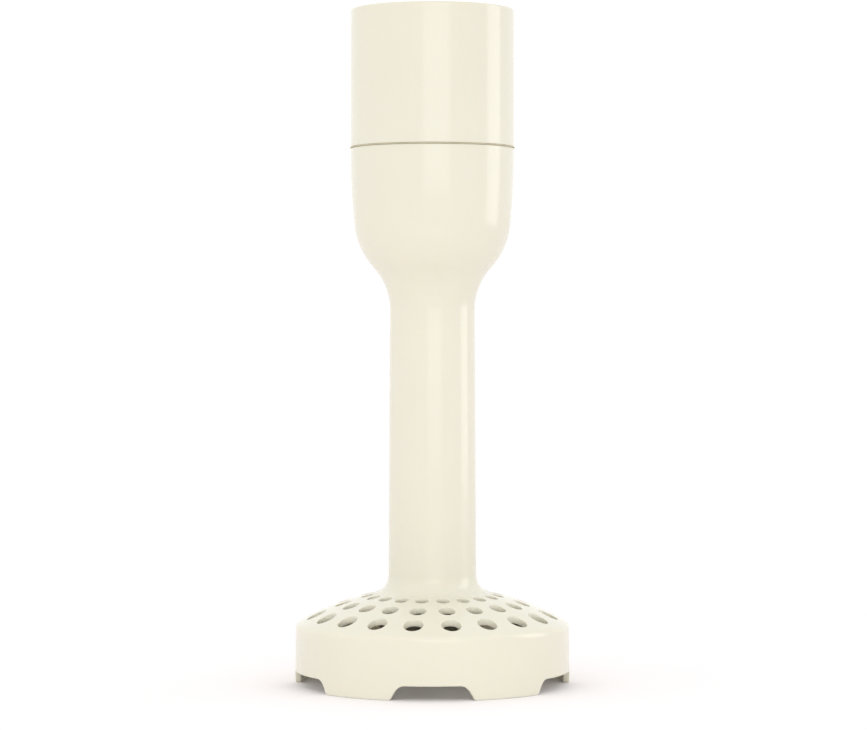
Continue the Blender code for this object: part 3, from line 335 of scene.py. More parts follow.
class Finish:
    """A material being built: a Principled shader and short ways to add the nodes that feed it."""

    def __init__(self, name, roughness, metallic=0.0, ior=1.5):
        self.material = bpy.data.materials.new(name)
        self.material.use_nodes = True
        self.tree = self.material.node_tree
        self.shader = self.tree.nodes["Principled BSDF"]
        self.shader.inputs["Roughness"].default_value = roughness
        self.shader.inputs["Metallic"].default_value = metallic
        self.shader.inputs["IOR"].default_value = ior
        self.place = self.tree.nodes.new("ShaderNodeTexCoord").outputs["Object"]

    def set(self, **values):
        for name, value in values.items():
            self.shader.inputs[name.replace("_", " ")].default_value = value

    def stretched(self, scale):
        """The place on the piece, stretched by a factor along each axis."""
        mapping = self.tree.nodes.new("ShaderNodeMapping")
        mapping.inputs["Scale"].default_value = scale
        self.tree.links.new(self.place, mapping.inputs["Vector"])
        return mapping.outputs["Vector"]

    def noise(self, per_metre, detail=3.0, place=None, roughness=0.5):
        noise = self.tree.nodes.new("ShaderNodeTexNoise")
        noise.inputs["Scale"].default_value = per_metre
        noise.inputs["Detail"].default_value = detail
        noise.inputs["Roughness"].default_value = roughness
        self.tree.links.new(place or self.place, noise.inputs["Vector"])
        return noise.outputs["Fac"]

    def cells(self, per_metre):
        cells = self.tree.nodes.new("ShaderNodeTexVoronoi")
        cells.inputs["Scale"].default_value = per_metre
        self.tree.links.new(self.place, cells.inputs["Vector"])
        return cells.outputs["Distance"]

    def spread(self, value, low, high, start=0.3, end=0.7):
        """The value, mapped from its start..end to low..high."""
        ranged = self.tree.nodes.new("ShaderNodeMapRange")
        ranged.interpolation_type = "SMOOTHSTEP"
        for name, number in (("From Min", start), ("From Max", end), ("To Min", low), ("To Max", high)):
            ranged.inputs[name].default_value = number
        self.tree.links.new(value, ranged.inputs["Value"])
        return ranged.outputs["Result"]

    def feed(self, value, socket):
        self.tree.links.new(value, self.shader.inputs[socket])

    def colours(self, value, *stops):
        """A colour that runs through the stops (position, colour) as the value goes from 0 to 1."""
        ramp = self.tree.nodes.new("ShaderNodeValToRGB")
        ramp.color_ramp.interpolation = "EASE"
        while len(ramp.color_ramp.elements) < len(stops):
            ramp.color_ramp.elements.new(0.5)
        for element, (position, colour) in zip(ramp.color_ramp.elements, stops):
            element.position = position
            element.color = (*colour, 1.0)
        self.tree.links.new(value, ramp.inputs["Fac"])
        self.feed(ramp.outputs["Color"], "Base Color")

    def bump(self, *layers):
        """Bumps on top of each other. Each layer is (height value, depth in millimetres)."""
        normal = None
        for value, depth in layers:
            bump = self.tree.nodes.new("ShaderNodeBump")
            bump.inputs["Distance"].default_value = depth * MM
            self.tree.links.new(value, bump.inputs["Height"])
            if normal:
                self.tree.links.new(normal, bump.inputs["Normal"])
            normal = bump.outputs["Normal"]
        self.feed(normal, "Normal")


def shade(colour, factor):
    return tuple(min(1.0, channel * factor) for channel in colour)


def cream_plastic(name, colours):
    """Glossy moulded casing, faintly cloudy from the moulding, with the slight waves of a polished tool."""
    made = Finish(name, 0.14, ior=1.5)
    cream = tuple(colours.cream)
    cloud = made.noise(28.0, 2.0)
    made.colours(cloud, (0.3, shade(cream, 0.992)), (0.7, shade(cream, 1.006)))
    made.feed(made.spread(made.noise(260.0, 4.0), 0.11, 0.17), "Roughness")
    made.set(Subsurface_Weight=0.12, Subsurface_Radius=(0.0030, 0.0024, 0.0014), Subsurface_Scale=1.0)
    made.bump((made.noise(90.0, 1.0), 0.010), (made.noise(1400.0, 2.0), 0.0012))
    return made.material


def white_plastic(name, colours):
    """Unpainted bearing-grade plastic: milky, satin, with soft flow lines along the melt."""
    made = Finish(name, 0.42, ior=1.48)
    white = tuple(colours.white)
    flow = made.noise(60.0, 4.0, made.stretched((1.0, 1.0, 0.25)), 0.6)
    made.colours(flow, (0.3, shade(white, 0.95)), (0.7, shade(white, 1.03)))
    made.feed(made.spread(made.noise(500.0, 4.0), 0.36, 0.48), "Roughness")
    made.set(Subsurface_Weight=0.15, Subsurface_Radius=(0.002, 0.002, 0.0018), Subsurface_Scale=1.0)
    made.bump((made.noise(2200.0, 3.0), 0.006))
    return made.material


def grey_plastic(name, colours):
    """Glass-filled plastic: pale fibre flecks that lie along the flow, and a finely eroded surface."""
    made = Finish(name, 0.45, ior=1.5)
    grey = tuple(colours.grey)
    fibres = made.noise(700.0, 5.0, made.stretched((1.0, 0.35, 2.2)), 0.65)
    made.colours(fibres, (0.35, shade(grey, 0.86)), (0.62, grey), (0.74, shade(grey, 1.5)))
    made.feed(made.spread(made.noise(900.0, 4.0), 0.38, 0.55), "Roughness")
    made.bump((made.noise(2600.0, 4.0), 0.012))
    return made.material


def steel(name, colours):
    """Machined steel: fine rings left by the tool, brighter and duller in patches."""
    made = Finish(name, 0.28, metallic=1.0)
    rings = made.noise(260.0, 6.0, made.stretched((0.15, 0.15, 22.0)), 0.7)
    made.colours(rings, (0.25, (0.50, 0.50, 0.51)), (0.75, (0.68, 0.68, 0.69)))
    made.feed(made.spread(made.noise(180.0, 4.0), 0.20, 0.38), "Roughness")
    made.bump((rings, 0.004))
    return made.material


def bronze(name, colours):
    """Sintered bronze: pressed grains with oily pores between them."""
    made = Finish(name, 0.42, metallic=1.0)
    grains = made.cells(2400.0)
    made.colours(grains, (0.0, (0.56, 0.36, 0.15)), (0.45, (0.50, 0.31, 0.13)), (0.75, (0.16, 0.09, 0.04)))
    made.feed(made.spread(made.noise(700.0, 4.0), 0.34, 0.56), "Roughness")
    made.bump((grains, -0.02))
    return made.material


def black_rubber(name, colours):
    """Nitrile rubber: nearly black, with a dull bloom in patches and a fine moulded grain."""
    made = Finish(name, 0.6, ior=1.52)
    made.colours(made.noise(220.0, 5.0), (0.35, (0.012, 0.012, 0.013)), (0.7, (0.030, 0.030, 0.031)))
    made.feed(made.spread(made.noise(420.0, 4.0), 0.50, 0.72), "Roughness")
    made.set(Sheen_Weight=0.08, Sheen_Roughness=0.5)
    made.bump((made.noise(3200.0, 3.0), 0.010))
    return made.material


def seam_rubber(name, colours):
    """Soft khaki ring: matt, a little darker where dust has settled into its grain."""
    made = Finish(name, 0.55, ior=1.5)
    seam = tuple(colours.seam)
    made.colours(made.noise(300.0, 4.0), (0.3, shade(seam, 0.9)), (0.7, shade(seam, 1.06)))
    made.feed(made.spread(made.noise(600.0, 3.0), 0.48, 0.64), "Roughness")
    made.bump((made.noise(2600.0, 3.0), 0.006))
    return made.material


FINISHES = {
    "cream_plastic": cream_plastic,
    "white_plastic": white_plastic,
    "grey_plastic": grey_plastic,
    "steel": steel,
    "bronze": bronze,
    "black_rubber": black_rubber,
    "seam_rubber": seam_rubber,
}


def finish(slot):
    """The material of a slot, made the first time it is asked for."""
    name = slot + "_finish"
    if name not in bpy.data.materials:
        FINISHES[slot](name, bpy.context.scene.masher_colours)
    return bpy.data.materials[name]


# ---- The leg ----

SOFT_START_DROP = 3.0
SOFT_ARC_RADIUS = 242.0
SOFT_ARC_LEAN = 5.9
SHOULDER_RADIUS = 27.9
HOLLOW_RADIUS = 22.8
TUBE_TOP_RADIUS = 15.6
TUBE_FOOT_RADIUS = 16.15

RIM_DRAFT = 0.2
DOME_RADIUS = 100.0
DOME_TOP = 35.5
DOME_EDGE_ROUND = 2.4
INSIDE_EDGE_ROUND = 2.0
TUBE_FILLET = 7.0
HOLE_RINGS = ((23.9, 4.9), (33.0, 6.0), (42.7, 7.0))
HOLES_PER_RING = 20
CELLS_FROM = 19.0
CELLS_TO = 46.95
SIDE_STEPS = 4

RIM_PADS = 5
PAD_HALF_ANGLE = 15.8
FRONT_PADS_PULLED_IN = 3.0
NOTCH_SIDE_ANGLE = 6.2
NOTCH_CURVE = 2.5
NOTCH_FLARE = 1.2
RIM_EDGE_ROUND = 0.35
LOWER_BOSS_DROP = 9.3
NOTCH_CROWDED_HALF = 4.6
NOTCH_CROWDING = 3.0
SEAL_SEAT_RADIUS = 8.55
SEAL_SEAT_RISE = 5.5
WASHER_SEAT = (4.6, 1.3)
LOWER_HUB_HEIGHT = 10.8
MOUTH_RADIUS = 27.4
MOUTH_DEPTH = 8.0
MOUTH_STEP = 1.2
LEDGE_WIDTH = 2.0
LEDGE_DEPTH = 26.0


class LegShape:
    """The leg's sizes in millimetres, and the arcs that they lead to."""

    def __init__(self, sizes):
        self.wall = sizes.wall / MM
        self.lip = sizes.hole_lip / MM
        self.notch_height = sizes.notch_height / MM
        self.collar = sizes.collar_radius / MM
        self.foot = sizes.foot_radius / MM
        self.rim = self.foot - RIM_DRAFT
        self.inner_rim = self.rim - RIM_WALL
        self.centre = DOME_TOP - DOME_RADIUS
        self.under = DOME_RADIUS - self.wall
        self.fillet_r = TUBE_FOOT_RADIUS + TUBE_FILLET
        self.fillet_z = self.centre + math.sqrt((DOME_RADIUS + TUBE_FILLET) ** 2 - self.fillet_r**2)

    def top_height(self, radius):
        """The outside's height: the fillet's circle near the tube, and the dome's sphere beyond it."""
        touch = self.fillet_r * DOME_RADIUS / (DOME_RADIUS + TUBE_FILLET)
        inside = np.clip(self.fillet_r - radius, 0, TUBE_FILLET)
        fillet = self.fillet_z - np.sqrt(TUBE_FILLET**2 - inside**2)
        dome = self.centre + np.sqrt(DOME_RADIUS**2 - radius**2)
        return np.where(radius < touch, fillet, dome)

    def under_height(self, radius):
        return self.centre + np.sqrt(self.under**2 - radius**2)


def neck_outline(offset, steps):
    """The neck from the collar to the tube: two outward arcs, then a hollow one, all tangent.

    The lean where the last two meet is the one that brings the collar's radius down to the tube's.
    """
    start = bpy.context.scene.masher_sizes.collar_radius / MM - 0.05
    lean = math.radians(SOFT_ARC_LEAN)
    level = SOFT_ARC_RADIUS * (1 - math.cos(lean)) + SHOULDER_RADIUS * math.cos(lean)
    level += HOLLOW_RADIUS - (start - TUBE_TOP_RADIUS)
    steepest = math.degrees(math.acos(level / (SHOULDER_RADIUS + HOLLOW_RADIUS)))
    soft_centre = np.array((start - SOFT_ARC_RADIUS, LEG_TOP - SOFT_START_DROP))
    lean_way = np.array((math.cos(lean), -math.sin(lean)))
    shoulder_centre = soft_centre + lean_way * (SOFT_ARC_RADIUS - SHOULDER_RADIUS)
    steep_way = arc((0, 0), 1.0, -steepest, -steepest, 0)[0]
    hollow_centre = shoulder_centre + steep_way * (SHOULDER_RADIUS + HOLLOW_RADIUS)
    soft = arc(soft_centre, SOFT_ARC_RADIUS - offset, 0, -SOFT_ARC_LEAN, steps // 2)
    shoulder = arc(shoulder_centre, SHOULDER_RADIUS - offset, -SOFT_ARC_LEAN, -steepest, steps)
    hollow = arc(hollow_centre, HOLLOW_RADIUS + offset, 180 - steepest, 180, steps)
    return np.concatenate((soft, shoulder[1:], hollow[1:]))


def notches():
    """The middle and the half angle of the gap between each two pads that the rim stands on.

    The pads are spaced evenly, except that the two beside the front are pulled in towards it.
    """
    pads = FRONT + 360.0 * (np.arange(RIM_PADS) + 0.5) / RIM_PADS
    pads[0] -= FRONT_PADS_PULLED_IN
    pads[-1] += FRONT_PADS_PULLED_IN
    following = np.append(pads[1:], pads[0] + 360.0)
    return (pads + following) / 2, (following - pads) / 2 - PAD_HALF_ANGLE


def notch_edge(shape, angle):
    """The rim's lower edge: zero under the pads, and a flat ceiling in each notch.

    Beside the ceiling the edge falls with a power of the share of the way to the notch's end, and runs out
    onto the pad in a short flare, where the two heights are blended by a parabola.
    """
    middles, halves = notches()
    away = np.abs((np.degrees(angle)[:, None] - middles + 180) % 360 - 180) - halves
    way = (away.min(axis=1) + NOTCH_SIDE_ANGLE) / NOTCH_SIDE_ANGLE
    height = shape.notch_height * (1 - np.maximum(way, 0) ** NOTCH_CURVE)
    blend = np.maximum(NOTCH_FLARE - np.abs(height), 0)
    return np.maximum(height, 0) + blend**2 / (4 * NOTCH_FLARE)


def rim_surface(shape):
    """From the dome's outer border over the rounded edge, down the rim, round its notched foot and up inside.

    Each row is a share of the way between a fixed height and the lower edge, and the columns slide from even
    angles at the top to angles that crowd at the notches' sides.
    """
    edge_r = shape.rim - DOME_EDGE_ROUND
    edge_z = shape.centre + math.sqrt((DOME_RADIUS - DOME_EDGE_ROUND) ** 2 - edge_r**2)
    edge_start = math.degrees(math.atan2(edge_z - shape.centre, edge_r))
    out_r = np.linspace(CELLS_TO, edge_r + DOME_EDGE_ROUND * math.cos(math.radians(edge_start)), 3)
    over = np.column_stack((out_r, shape.top_height(out_r)))
    edge = arc((edge_r, edge_z), DOME_EDGE_ROUND, edge_start, 0, 8)[1:]
    above = np.concatenate((over, edge))

    in_r = shape.inner_rim - INSIDE_EDGE_ROUND
    in_z = shape.centre + math.sqrt((shape.under - INSIDE_EDGE_ROUND) ** 2 - in_r**2)
    in_end = math.degrees(math.atan2(in_z - shape.centre, in_r))
    inner_edge = arc((in_r, in_z), INSIDE_EDGE_ROUND, 0, in_end, 4)
    inner_last = np.array([(CELLS_TO, shape.under_height(CELLS_TO))])
    inside = np.concatenate((inner_edge, inner_last))

    even = even_angles()
    middles, halves = notches()
    reach = halves - NOTCH_SIDE_ANGLE / 2
    crowded = crowded_angles((*(middles - reach), *(middles + reach)), NOTCH_CROWDED_HALF, NOTCH_CROWDING)
    low = notch_edge(shape, crowded)

    fall = np.array((0.03, 0.15, 0.35, 0.55, 0.75, 0.9, 0.98))[:, None]
    slope = (edge_z - RIM_EDGE_ROUND - low) * fall
    wall_z = edge_z - slope
    wall_r = shape.rim + RIM_DRAFT * (1 - wall_z / edge_z)
    bend = np.radians(np.linspace(0, 90, 5))[:, None]
    foot_r = shape.rim + RIM_DRAFT * (1 - low / edge_z)
    outer_foot_r = foot_r - RIM_EDGE_ROUND * (1 - np.cos(bend))
    foot_z = low + RIM_EDGE_ROUND * (1 - np.sin(bend))
    inner_foot_r = shape.inner_rim + RIM_EDGE_ROUND * (1 - np.cos(bend[::-1])) + 0 * low
    inner_foot_z = low + RIM_EDGE_ROUND * (1 - np.sin(bend[::-1]))
    rise = fall[::-1]
    inner_wall_z = in_z - (in_z - RIM_EDGE_ROUND - low) * rise
    inner_wall_r = shape.inner_rim + 0 * inner_wall_z

    ones = np.ones(COLUMNS)
    radius = np.concatenate((above[:, :1] * ones, wall_r, outer_foot_r, inner_foot_r, inner_wall_r))
    radius = np.concatenate((radius, inside[:, :1] * ones))
    height = np.concatenate((above[:, 1:] * ones, wall_z, foot_z, inner_foot_z, inner_wall_z))
    height = np.concatenate((height, inside[:, 1:] * ones))
    full = np.ones((2 * len(bend), 1))
    slide = np.concatenate((np.zeros((len(above), 1)), fall, full, rise, np.zeros((len(inside), 1))))
    angle = even + (crowded - even) * slide
    return round_surface(radius, angle, height)


def dome_cells(shape):
    """The perforated dome, a cell for each hole, with its top, the hole's wall and the underside.

    A cell's border is a stretch of a ring between two spokes. Each border point is joined to the point of the
    hole's circle in the same direction, first on the top, then round the lip, down the wall and back outwards
    below. Heights come from the dome's outside and underside at each point's own radius.
    """
    middles = [radius for radius, _ in HOLE_RINGS]
    holes = [diameter / 2 for _, diameter in HOLE_RINGS]
    between = [
        (middles[i] + holes[i] + middles[i + 1] - holes[i + 1]) / 2 for i in range(len(HOLE_RINGS) - 1)
    ]
    limits = [CELLS_FROM, *between, CELLS_TO]
    half = math.pi / HOLES_PER_RING
    arc_steps = COLUMNS // HOLES_PER_RING
    cells = []
    for ring, (middle, hole) in enumerate(zip(middles, holes)):
        near, far = limits[ring], limits[ring + 1]
        spokes = np.linspace(-half, half, arc_steps + 1)[:-1]
        ways = np.linspace(near, far, SIDE_STEPS + 1)[:-1]
        border_r = np.concatenate(
            (np.full(arc_steps, near), ways, np.full(arc_steps, far), (near + far) - ways)
        )
        border_a = np.concatenate(
            (spokes, np.full(SIDE_STEPS, half), -spokes, np.full(SIDE_STEPS, -half))
        )
        border = np.stack((border_r * np.cos(border_a), border_r * np.sin(border_a)), axis=-1)
        to_border = border - (middle, 0.0)
        direction = to_border / np.linalg.norm(to_border, axis=1)[:, None]

        share = np.array((0.0, 0.45, 0.8, 0.95, 1.0))[:, None, None]
        rim = (middle, 0.0) + direction * (hole + shape.lip)
        flat = border + (rim - border) * share
        bend = np.radians(np.linspace(0, 90, 4))[1:, None, None]
        lip = (middle, 0.0) + direction * (hole + shape.lip * (1 - np.sin(bend)))
        lip_drop = shape.lip * (1 - np.cos(bend[..., 0]))

        def height_of(plan, rule):
            return rule(np.linalg.norm(plan, axis=-1))

        top = np.concatenate((height_of(flat, shape.top_height), height_of(lip, shape.top_height) - lip_drop))
        low_lip = height_of(lip, shape.under_height) + lip_drop
        low = np.concatenate((height_of(flat, shape.under_height), low_lip))
        plan = np.concatenate((flat, lip))
        wall_plan = plan[-1:]
        wall_z = (top[-1:] + low[-1:]) / 2
        plan = np.concatenate((plan, wall_plan, plan[::-1]))
        height = np.concatenate((top, wall_z, low[::-1]))
        for turn in (np.arange(HOLES_PER_RING) + 0.5) * 2 * half:
            x = plan[..., 0] * math.cos(turn) - plan[..., 1] * math.sin(turn)
            y = plan[..., 0] * math.sin(turn) + plan[..., 1] * math.cos(turn)
            cells.append(np.stack((x, y, height), axis=-1))
    return cells


def leg_outside(shape):
    """From the collar's edge down the neck and the tube into the fillet, as far as the dome's first cells."""
    edge = arc((shape.collar - 0.35, LEG_TOP - 0.3), 0.3, 90, 0, 4)
    hold = np.array([(shape.collar - 0.05, LEG_TOP - 0.8)])
    neck = neck_outline(0.0, 16)
    tube = np.linspace(neck[-1], (TUBE_FOOT_RADIUS, shape.fillet_z), 5)[1:]
    last = math.degrees(math.acos((shape.fillet_r - CELLS_FROM) / TUBE_FILLET))
    fillet = arc((shape.fillet_r, shape.fillet_z), TUBE_FILLET, 180, 180 + last, 8)[1:]
    return np.concatenate((edge, hold, neck, tube, fillet))


def leg_inside(shape):
    """From the dome's underside round the boss, through its bore into the tube, and up to the mouth."""
    boss_foot = DOME_TOP - LOWER_BOSS_DROP
    seal_seat = boss_foot + SEAL_SEAT_RISE
    washer_radius, washer_depth = WASHER_SEAT
    bush_foot = seal_seat + washer_depth
    hub = BUSH_SEAT + HUB_WALL
    hub_top = seal_seat + LOWER_HUB_HEIGHT
    bore = MOUTH_RADIUS - MOUTH_STEP
    ledge = bore - LEDGE_WIDTH
    ledge_z = LEG_TOP - LEDGE_DEPTH
    mouth_foot = LEG_TOP - MOUTH_DEPTH
    neck = neck_outline(shape.wall, 8)[::-1]
    below = neck[neck[:, 0] < ledge]
    above = neck[len(below)]
    crossing = below[-1, 1] + (above[1] - below[-1, 1]) * (ledge - below[-1, 0]) / (above[0] - below[-1, 0])
    under_r = np.linspace(CELLS_FROM, LOWER_BOSS_RADIUS + 1.8, 4)
    under = np.column_stack((under_r, shape.under_height(under_r)))
    boss_root = float(shape.under_height(LOWER_BOSS_RADIUS))
    start = under[-1]
    boss = softened(
        [
            (start[0], start[1]),
            (LOWER_BOSS_RADIUS, boss_root, 1.2),
            (LOWER_BOSS_RADIUS, boss_foot, 0.5),
            (SEAL_SEAT_RADIUS, boss_foot, 0.3),
            (SEAL_SEAT_RADIUS, seal_seat),
            (washer_radius, seal_seat, 0.2),
            (washer_radius, bush_foot),
            (BUSH_SEAT, bush_foot),
            (BUSH_SEAT, hub_top, 0.2),
            (hub, hub_top, 0.2),
            (hub, DOME_TOP, 0.8),
            (TUBE_FOOT_RADIUS - shape.wall, DOME_TOP, 1.5),
            tuple(below[0]),
        ],
        steps=3,
    )
    mouth_part = softened(
        [
            tuple(below[-1]),
            (ledge, crossing, 0.3),
            (ledge, ledge_z, 0.3),
            (bore, ledge_z, 0.3),
            (bore, mouth_foot, 0.4),
            (MOUTH_RADIUS, mouth_foot, 0.3),
            (MOUTH_RADIUS, LEG_TOP, 0.4),
            (shape.collar - 0.35, LEG_TOP),
        ],
        steps=3,
    )
    return np.concatenate((under, boss[1:], below[1:], mouth_part[1:]))


class MASHER_OT_leg(bpy.types.Operator):
    """Build the moulded leg with its perforated dome and notched rim"""

    bl_idname = "masher.leg"
    bl_label = "Masher Leg"

    def execute(self, context):
        shape = LegShape(context.scene.masher_sizes)
        outside, inside = turned(leg_outside(shape)), turned(leg_inside(shape))
        make_piece("moulded_leg", [outside, *dome_cells(shape), rim_surface(shape), inside], "masher_leg")
        return {"FINISHED"}


# ---- The gearbox housing ----

HOUSING_WALL = 2.5
RIM_ROUND = 0.6
SOCKET_DEPTH = 20.0
SOCKET_FLOOR = 3.0
INPUT_BUSH_SEAT = 5.45
KEY_CROWDING = 6.0
SOCKET_KEYS = 3
KEY_DEPTH = 1.3
KEY_WIDTH = 5.0
KEY_TOP_DROP = 5.0
KEY_FLANK = 1.2


class MASHER_OT_housing(bpy.types.Operator):
    """Build the gearbox collar with the keyed socket that takes the motor body"""

    bl_idname = "masher.housing"
    bl_label = "Gearbox Housing"

    def execute(self, context):
        outer = context.scene.masher_sizes.collar_radius / MM
        bore = outer - HOUSING_WALL
        floor = HOUSING_TOP - SOCKET_DEPTH
        outline = softened(
            [
                (bore, HOUSING_TOP - KEY_TOP_DROP),
                (bore, HOUSING_TOP, RIM_ROUND),
                (outer, HOUSING_TOP, RIM_ROUND),
                (outer, HOUSING_FOOT, 0.3),
                (bore, HOUSING_FOOT, 0.3),
                (bore, floor - SOCKET_FLOOR, 0.5),
                (INPUT_BUSH_SEAT, floor - SOCKET_FLOOR, 0.2),
                (INPUT_BUSH_SEAT, floor, 0.2),
                (bore - KEY_DEPTH - 1.0, floor),
            ]
        )
        half = math.degrees(KEY_WIDTH / 2 / bore)
        flank = math.degrees(KEY_FLANK / 2 / bore)
        middles = 90.0 + 360.0 / SOCKET_KEYS * np.arange(SOCKET_KEYS)
        sides = np.concatenate((middles - half, middles + half))
        angle = crowded_angles(sides, 2 * flank, KEY_CROWDING)
        keys = self.keys(angle, bore, floor, half, flank)
        grid = np.concatenate((round_surface(outline[:, :1], angle, outline[:, 1:]), keys))
        make_piece("gearbox_collar", [(grid, True)], "gearbox_housing")
        return {"FINISHED"}

    def keys(self, angle, bore, floor, half, flank):
        """The socket's wall from its floor up to the keys' tops, as a radius for each angle and height.

        A key takes its depth off the bore's radius. Across each flank the depth follows a smooth step, and
        so it does up the key's top end. At the floor the radius grows in along a quarter circle.
        """
        period = math.radians(360 / SOCKET_KEYS)
        away = np.degrees(np.abs((angle - math.pi / 2 + period / 2) % period - period / 2))
        across = smooth_step(np.clip((half + flank - away) / (2 * flank), 0, 1))
        fillet = 0.8
        bend = np.radians(np.linspace(0, 90, 5))[:, None]
        top = HOUSING_TOP - KEY_TOP_DROP
        foot_z = floor + fillet * (1 - np.cos(bend))
        foot_in = fillet * (1 - np.sin(bend))
        rise = np.array((floor + 1.6, floor + 6.0, top - 4.0, top - 1.4))[:, None]
        end_share = np.linspace(0, 1, 6)[:, None]
        end_z = top - 1.1 + 1.0 * end_share
        height = np.concatenate((foot_z, rise, end_z))
        inwards = np.concatenate((foot_in, 0 * rise, 0 * end_z))
        along = np.concatenate((1 + 0 * foot_z, 1 + 0 * rise, 1 - smooth_step(end_share)))
        return round_surface(bore - KEY_DEPTH * across * along - inwards, angle, height)


class MASHER_OT_gasket(bpy.types.Operator):
    """Build the thin ring in the seam between the collar and the leg"""

    bl_idname = "masher.gasket"
    bl_label = "Joint Gasket"

    def execute(self, context):
        low, high = node_span("joint_gasket")
        inner = context.scene.masher_sizes.collar_radius / MM - HOUSING_WALL
        ring = [(high[0], high[2], 0.1), (high[0], low[2], 0.1), (inner, low[2]), (inner, high[2])]
        make_piece("seam_ring", [turned_ring(ring, COLUMNS)], "joint_gasket")
        return {"FINISHED"}


# ---- Couplings ----

STAR_POINTS = 6
STAR_SHARES = (-0.30, -0.18, 0.18, 0.30)
STAR_RADII = (4.2, 6.2, 6.2, 4.2)
STAR_FLOOR = 4.2
SPINDLE_BORE = 3.1
SOCKET_MOUTH = 0.35
SHAFT_SOCKET = 6.3
SHAFT_SOCKET_RADIUS = 4.2


def socket_levels(floor, top):
    """A straight socket from its floor up, whose mouth flares out at the top."""
    return ((floor, 0), (top - SOCKET_MOUTH, 0), (top + SOCKET_MOUTH, 2 * SOCKET_MOUTH))


class MASHER_OT_couplings(bpy.types.Operator):
    """Build the star coupler in the motor socket and the hexagonal coupling on the shaft"""

    bl_idname = "masher.couplings"
    bl_label = "Couplings"

    def execute(self, context):
        self.star_coupler()
        self.shaft_coupling()
        return {"FINISHED"}

    def star_coupler(self):
        """A rounded drum on the input spindle, whose socket is a star with straight flanks."""
        low, high = node_span("input_coupler")
        outline = softened(
            [
                (0, high[2]),
                (high[0], high[2], 0.9),
                (high[0], low[2], 0.5),
                (SPINDLE_BORE, low[2], 0.2),
                (SPINDLE_BORE, low[2] + SPINDLE_BORE),
                (0, low[2] + SPINDLE_BORE),
            ]
        )
        turns = (np.arange(STAR_POINTS)[:, None] + STAR_SHARES).ravel() / STAR_POINTS
        radii = np.tile(STAR_RADII, STAR_POINTS)
        socket = column(polygon(radii, turns), socket_levels(low[2] + STAR_FLOOR, high[2]))
        make_piece("star_coupler", [turned(outline, SMALL_COLUMNS)], "input_coupler", cut=[socket])

    def shaft_coupling(self):
        """A cup on the shaft's top: a round bore from below and a hexagonal socket from above."""
        low, high = node_span("shaft_coupling")
        shaft_end = low[2] + SHAFT_SOCKET
        outline = softened(
            [
                (0, high[2]),
                (high[0], high[2], 1.0),
                (high[0], low[2], 0.4),
                (SHAFT_SOCKET_RADIUS, low[2], 0.2),
                (SHAFT_SOCKET_RADIUS, shaft_end),
                (0, shaft_end),
            ]
        )
        socket = column(hexagon(HEX_SOCKET_RADIUS), socket_levels(shaft_end + 1.0, high[2]))
        make_piece("hexagon_coupling", [turned(outline, SMALL_COLUMNS)], "shaft_coupling", cut=[socket])


# ---- Shaft and paddle ----

SHAFT_RADIUS = 4.0
GROOVE_DEPTH = 0.6
GROOVE_SPARE = 0.15
HEX_SPARE = 0.3
PADDLE_RIM_GAP = 4.2
PADDLE_HUB_RADIUS = 9.4
PADDLE_CAP = 2.5
PADDLE_BLADES = 3
BLADE_HEIGHT = 9.0
BLADE_ROOT_SHARE = 0.6
BLADE_THICKNESS = 2.4
BLADE_LEAN = 5.0
BLADE_SWEEP = 34.0
BLADE_EDGE = 0.9
BLADE_BELOW_HUB_TOP = 0.3
BLADE_UNDER_DOME = 1.3
BLADE_PAST_BOSS = 0.8


class MASHER_OT_drive_shaft(bpy.types.Operator):
    """Build the steel shaft with its clip groove and its hexagonal foot"""

    bl_idname = "masher.drive_shaft"
    bl_label = "Drive Shaft"

    def execute(self, context):
        low, high = node_span("drive_shaft")
        clip_low, clip_high = node_span("shaft_circlip")
        hex_top = node_span("paddle")[1][2] + HEX_SPARE
        groove = SHAFT_RADIUS - GROOVE_DEPTH
        outline = softened(
            [
                (0, high[2]),
                (SHAFT_RADIUS, high[2], 0.6),
                (SHAFT_RADIUS, clip_high[2] + GROOVE_SPARE, 0.1),
                (groove, clip_high[2] + GROOVE_SPARE),
                (groove, clip_low[2] - GROOVE_SPARE),
                (SHAFT_RADIUS, clip_low[2] - GROOVE_SPARE, 0.1),
                (SHAFT_RADIUS, hex_top, 0.3),
                (0, hex_top),
            ]
        )
        foot = column(hexagon(HEX_RADIUS), ((low[2], -0.4), (low[2] + 0.5, 0), (hex_top + 1.0, 0)))
        make_piece("steel_shaft", [turned(outline, 64)], "drive_shaft", joined=[foot])
        return {"FINISHED"}


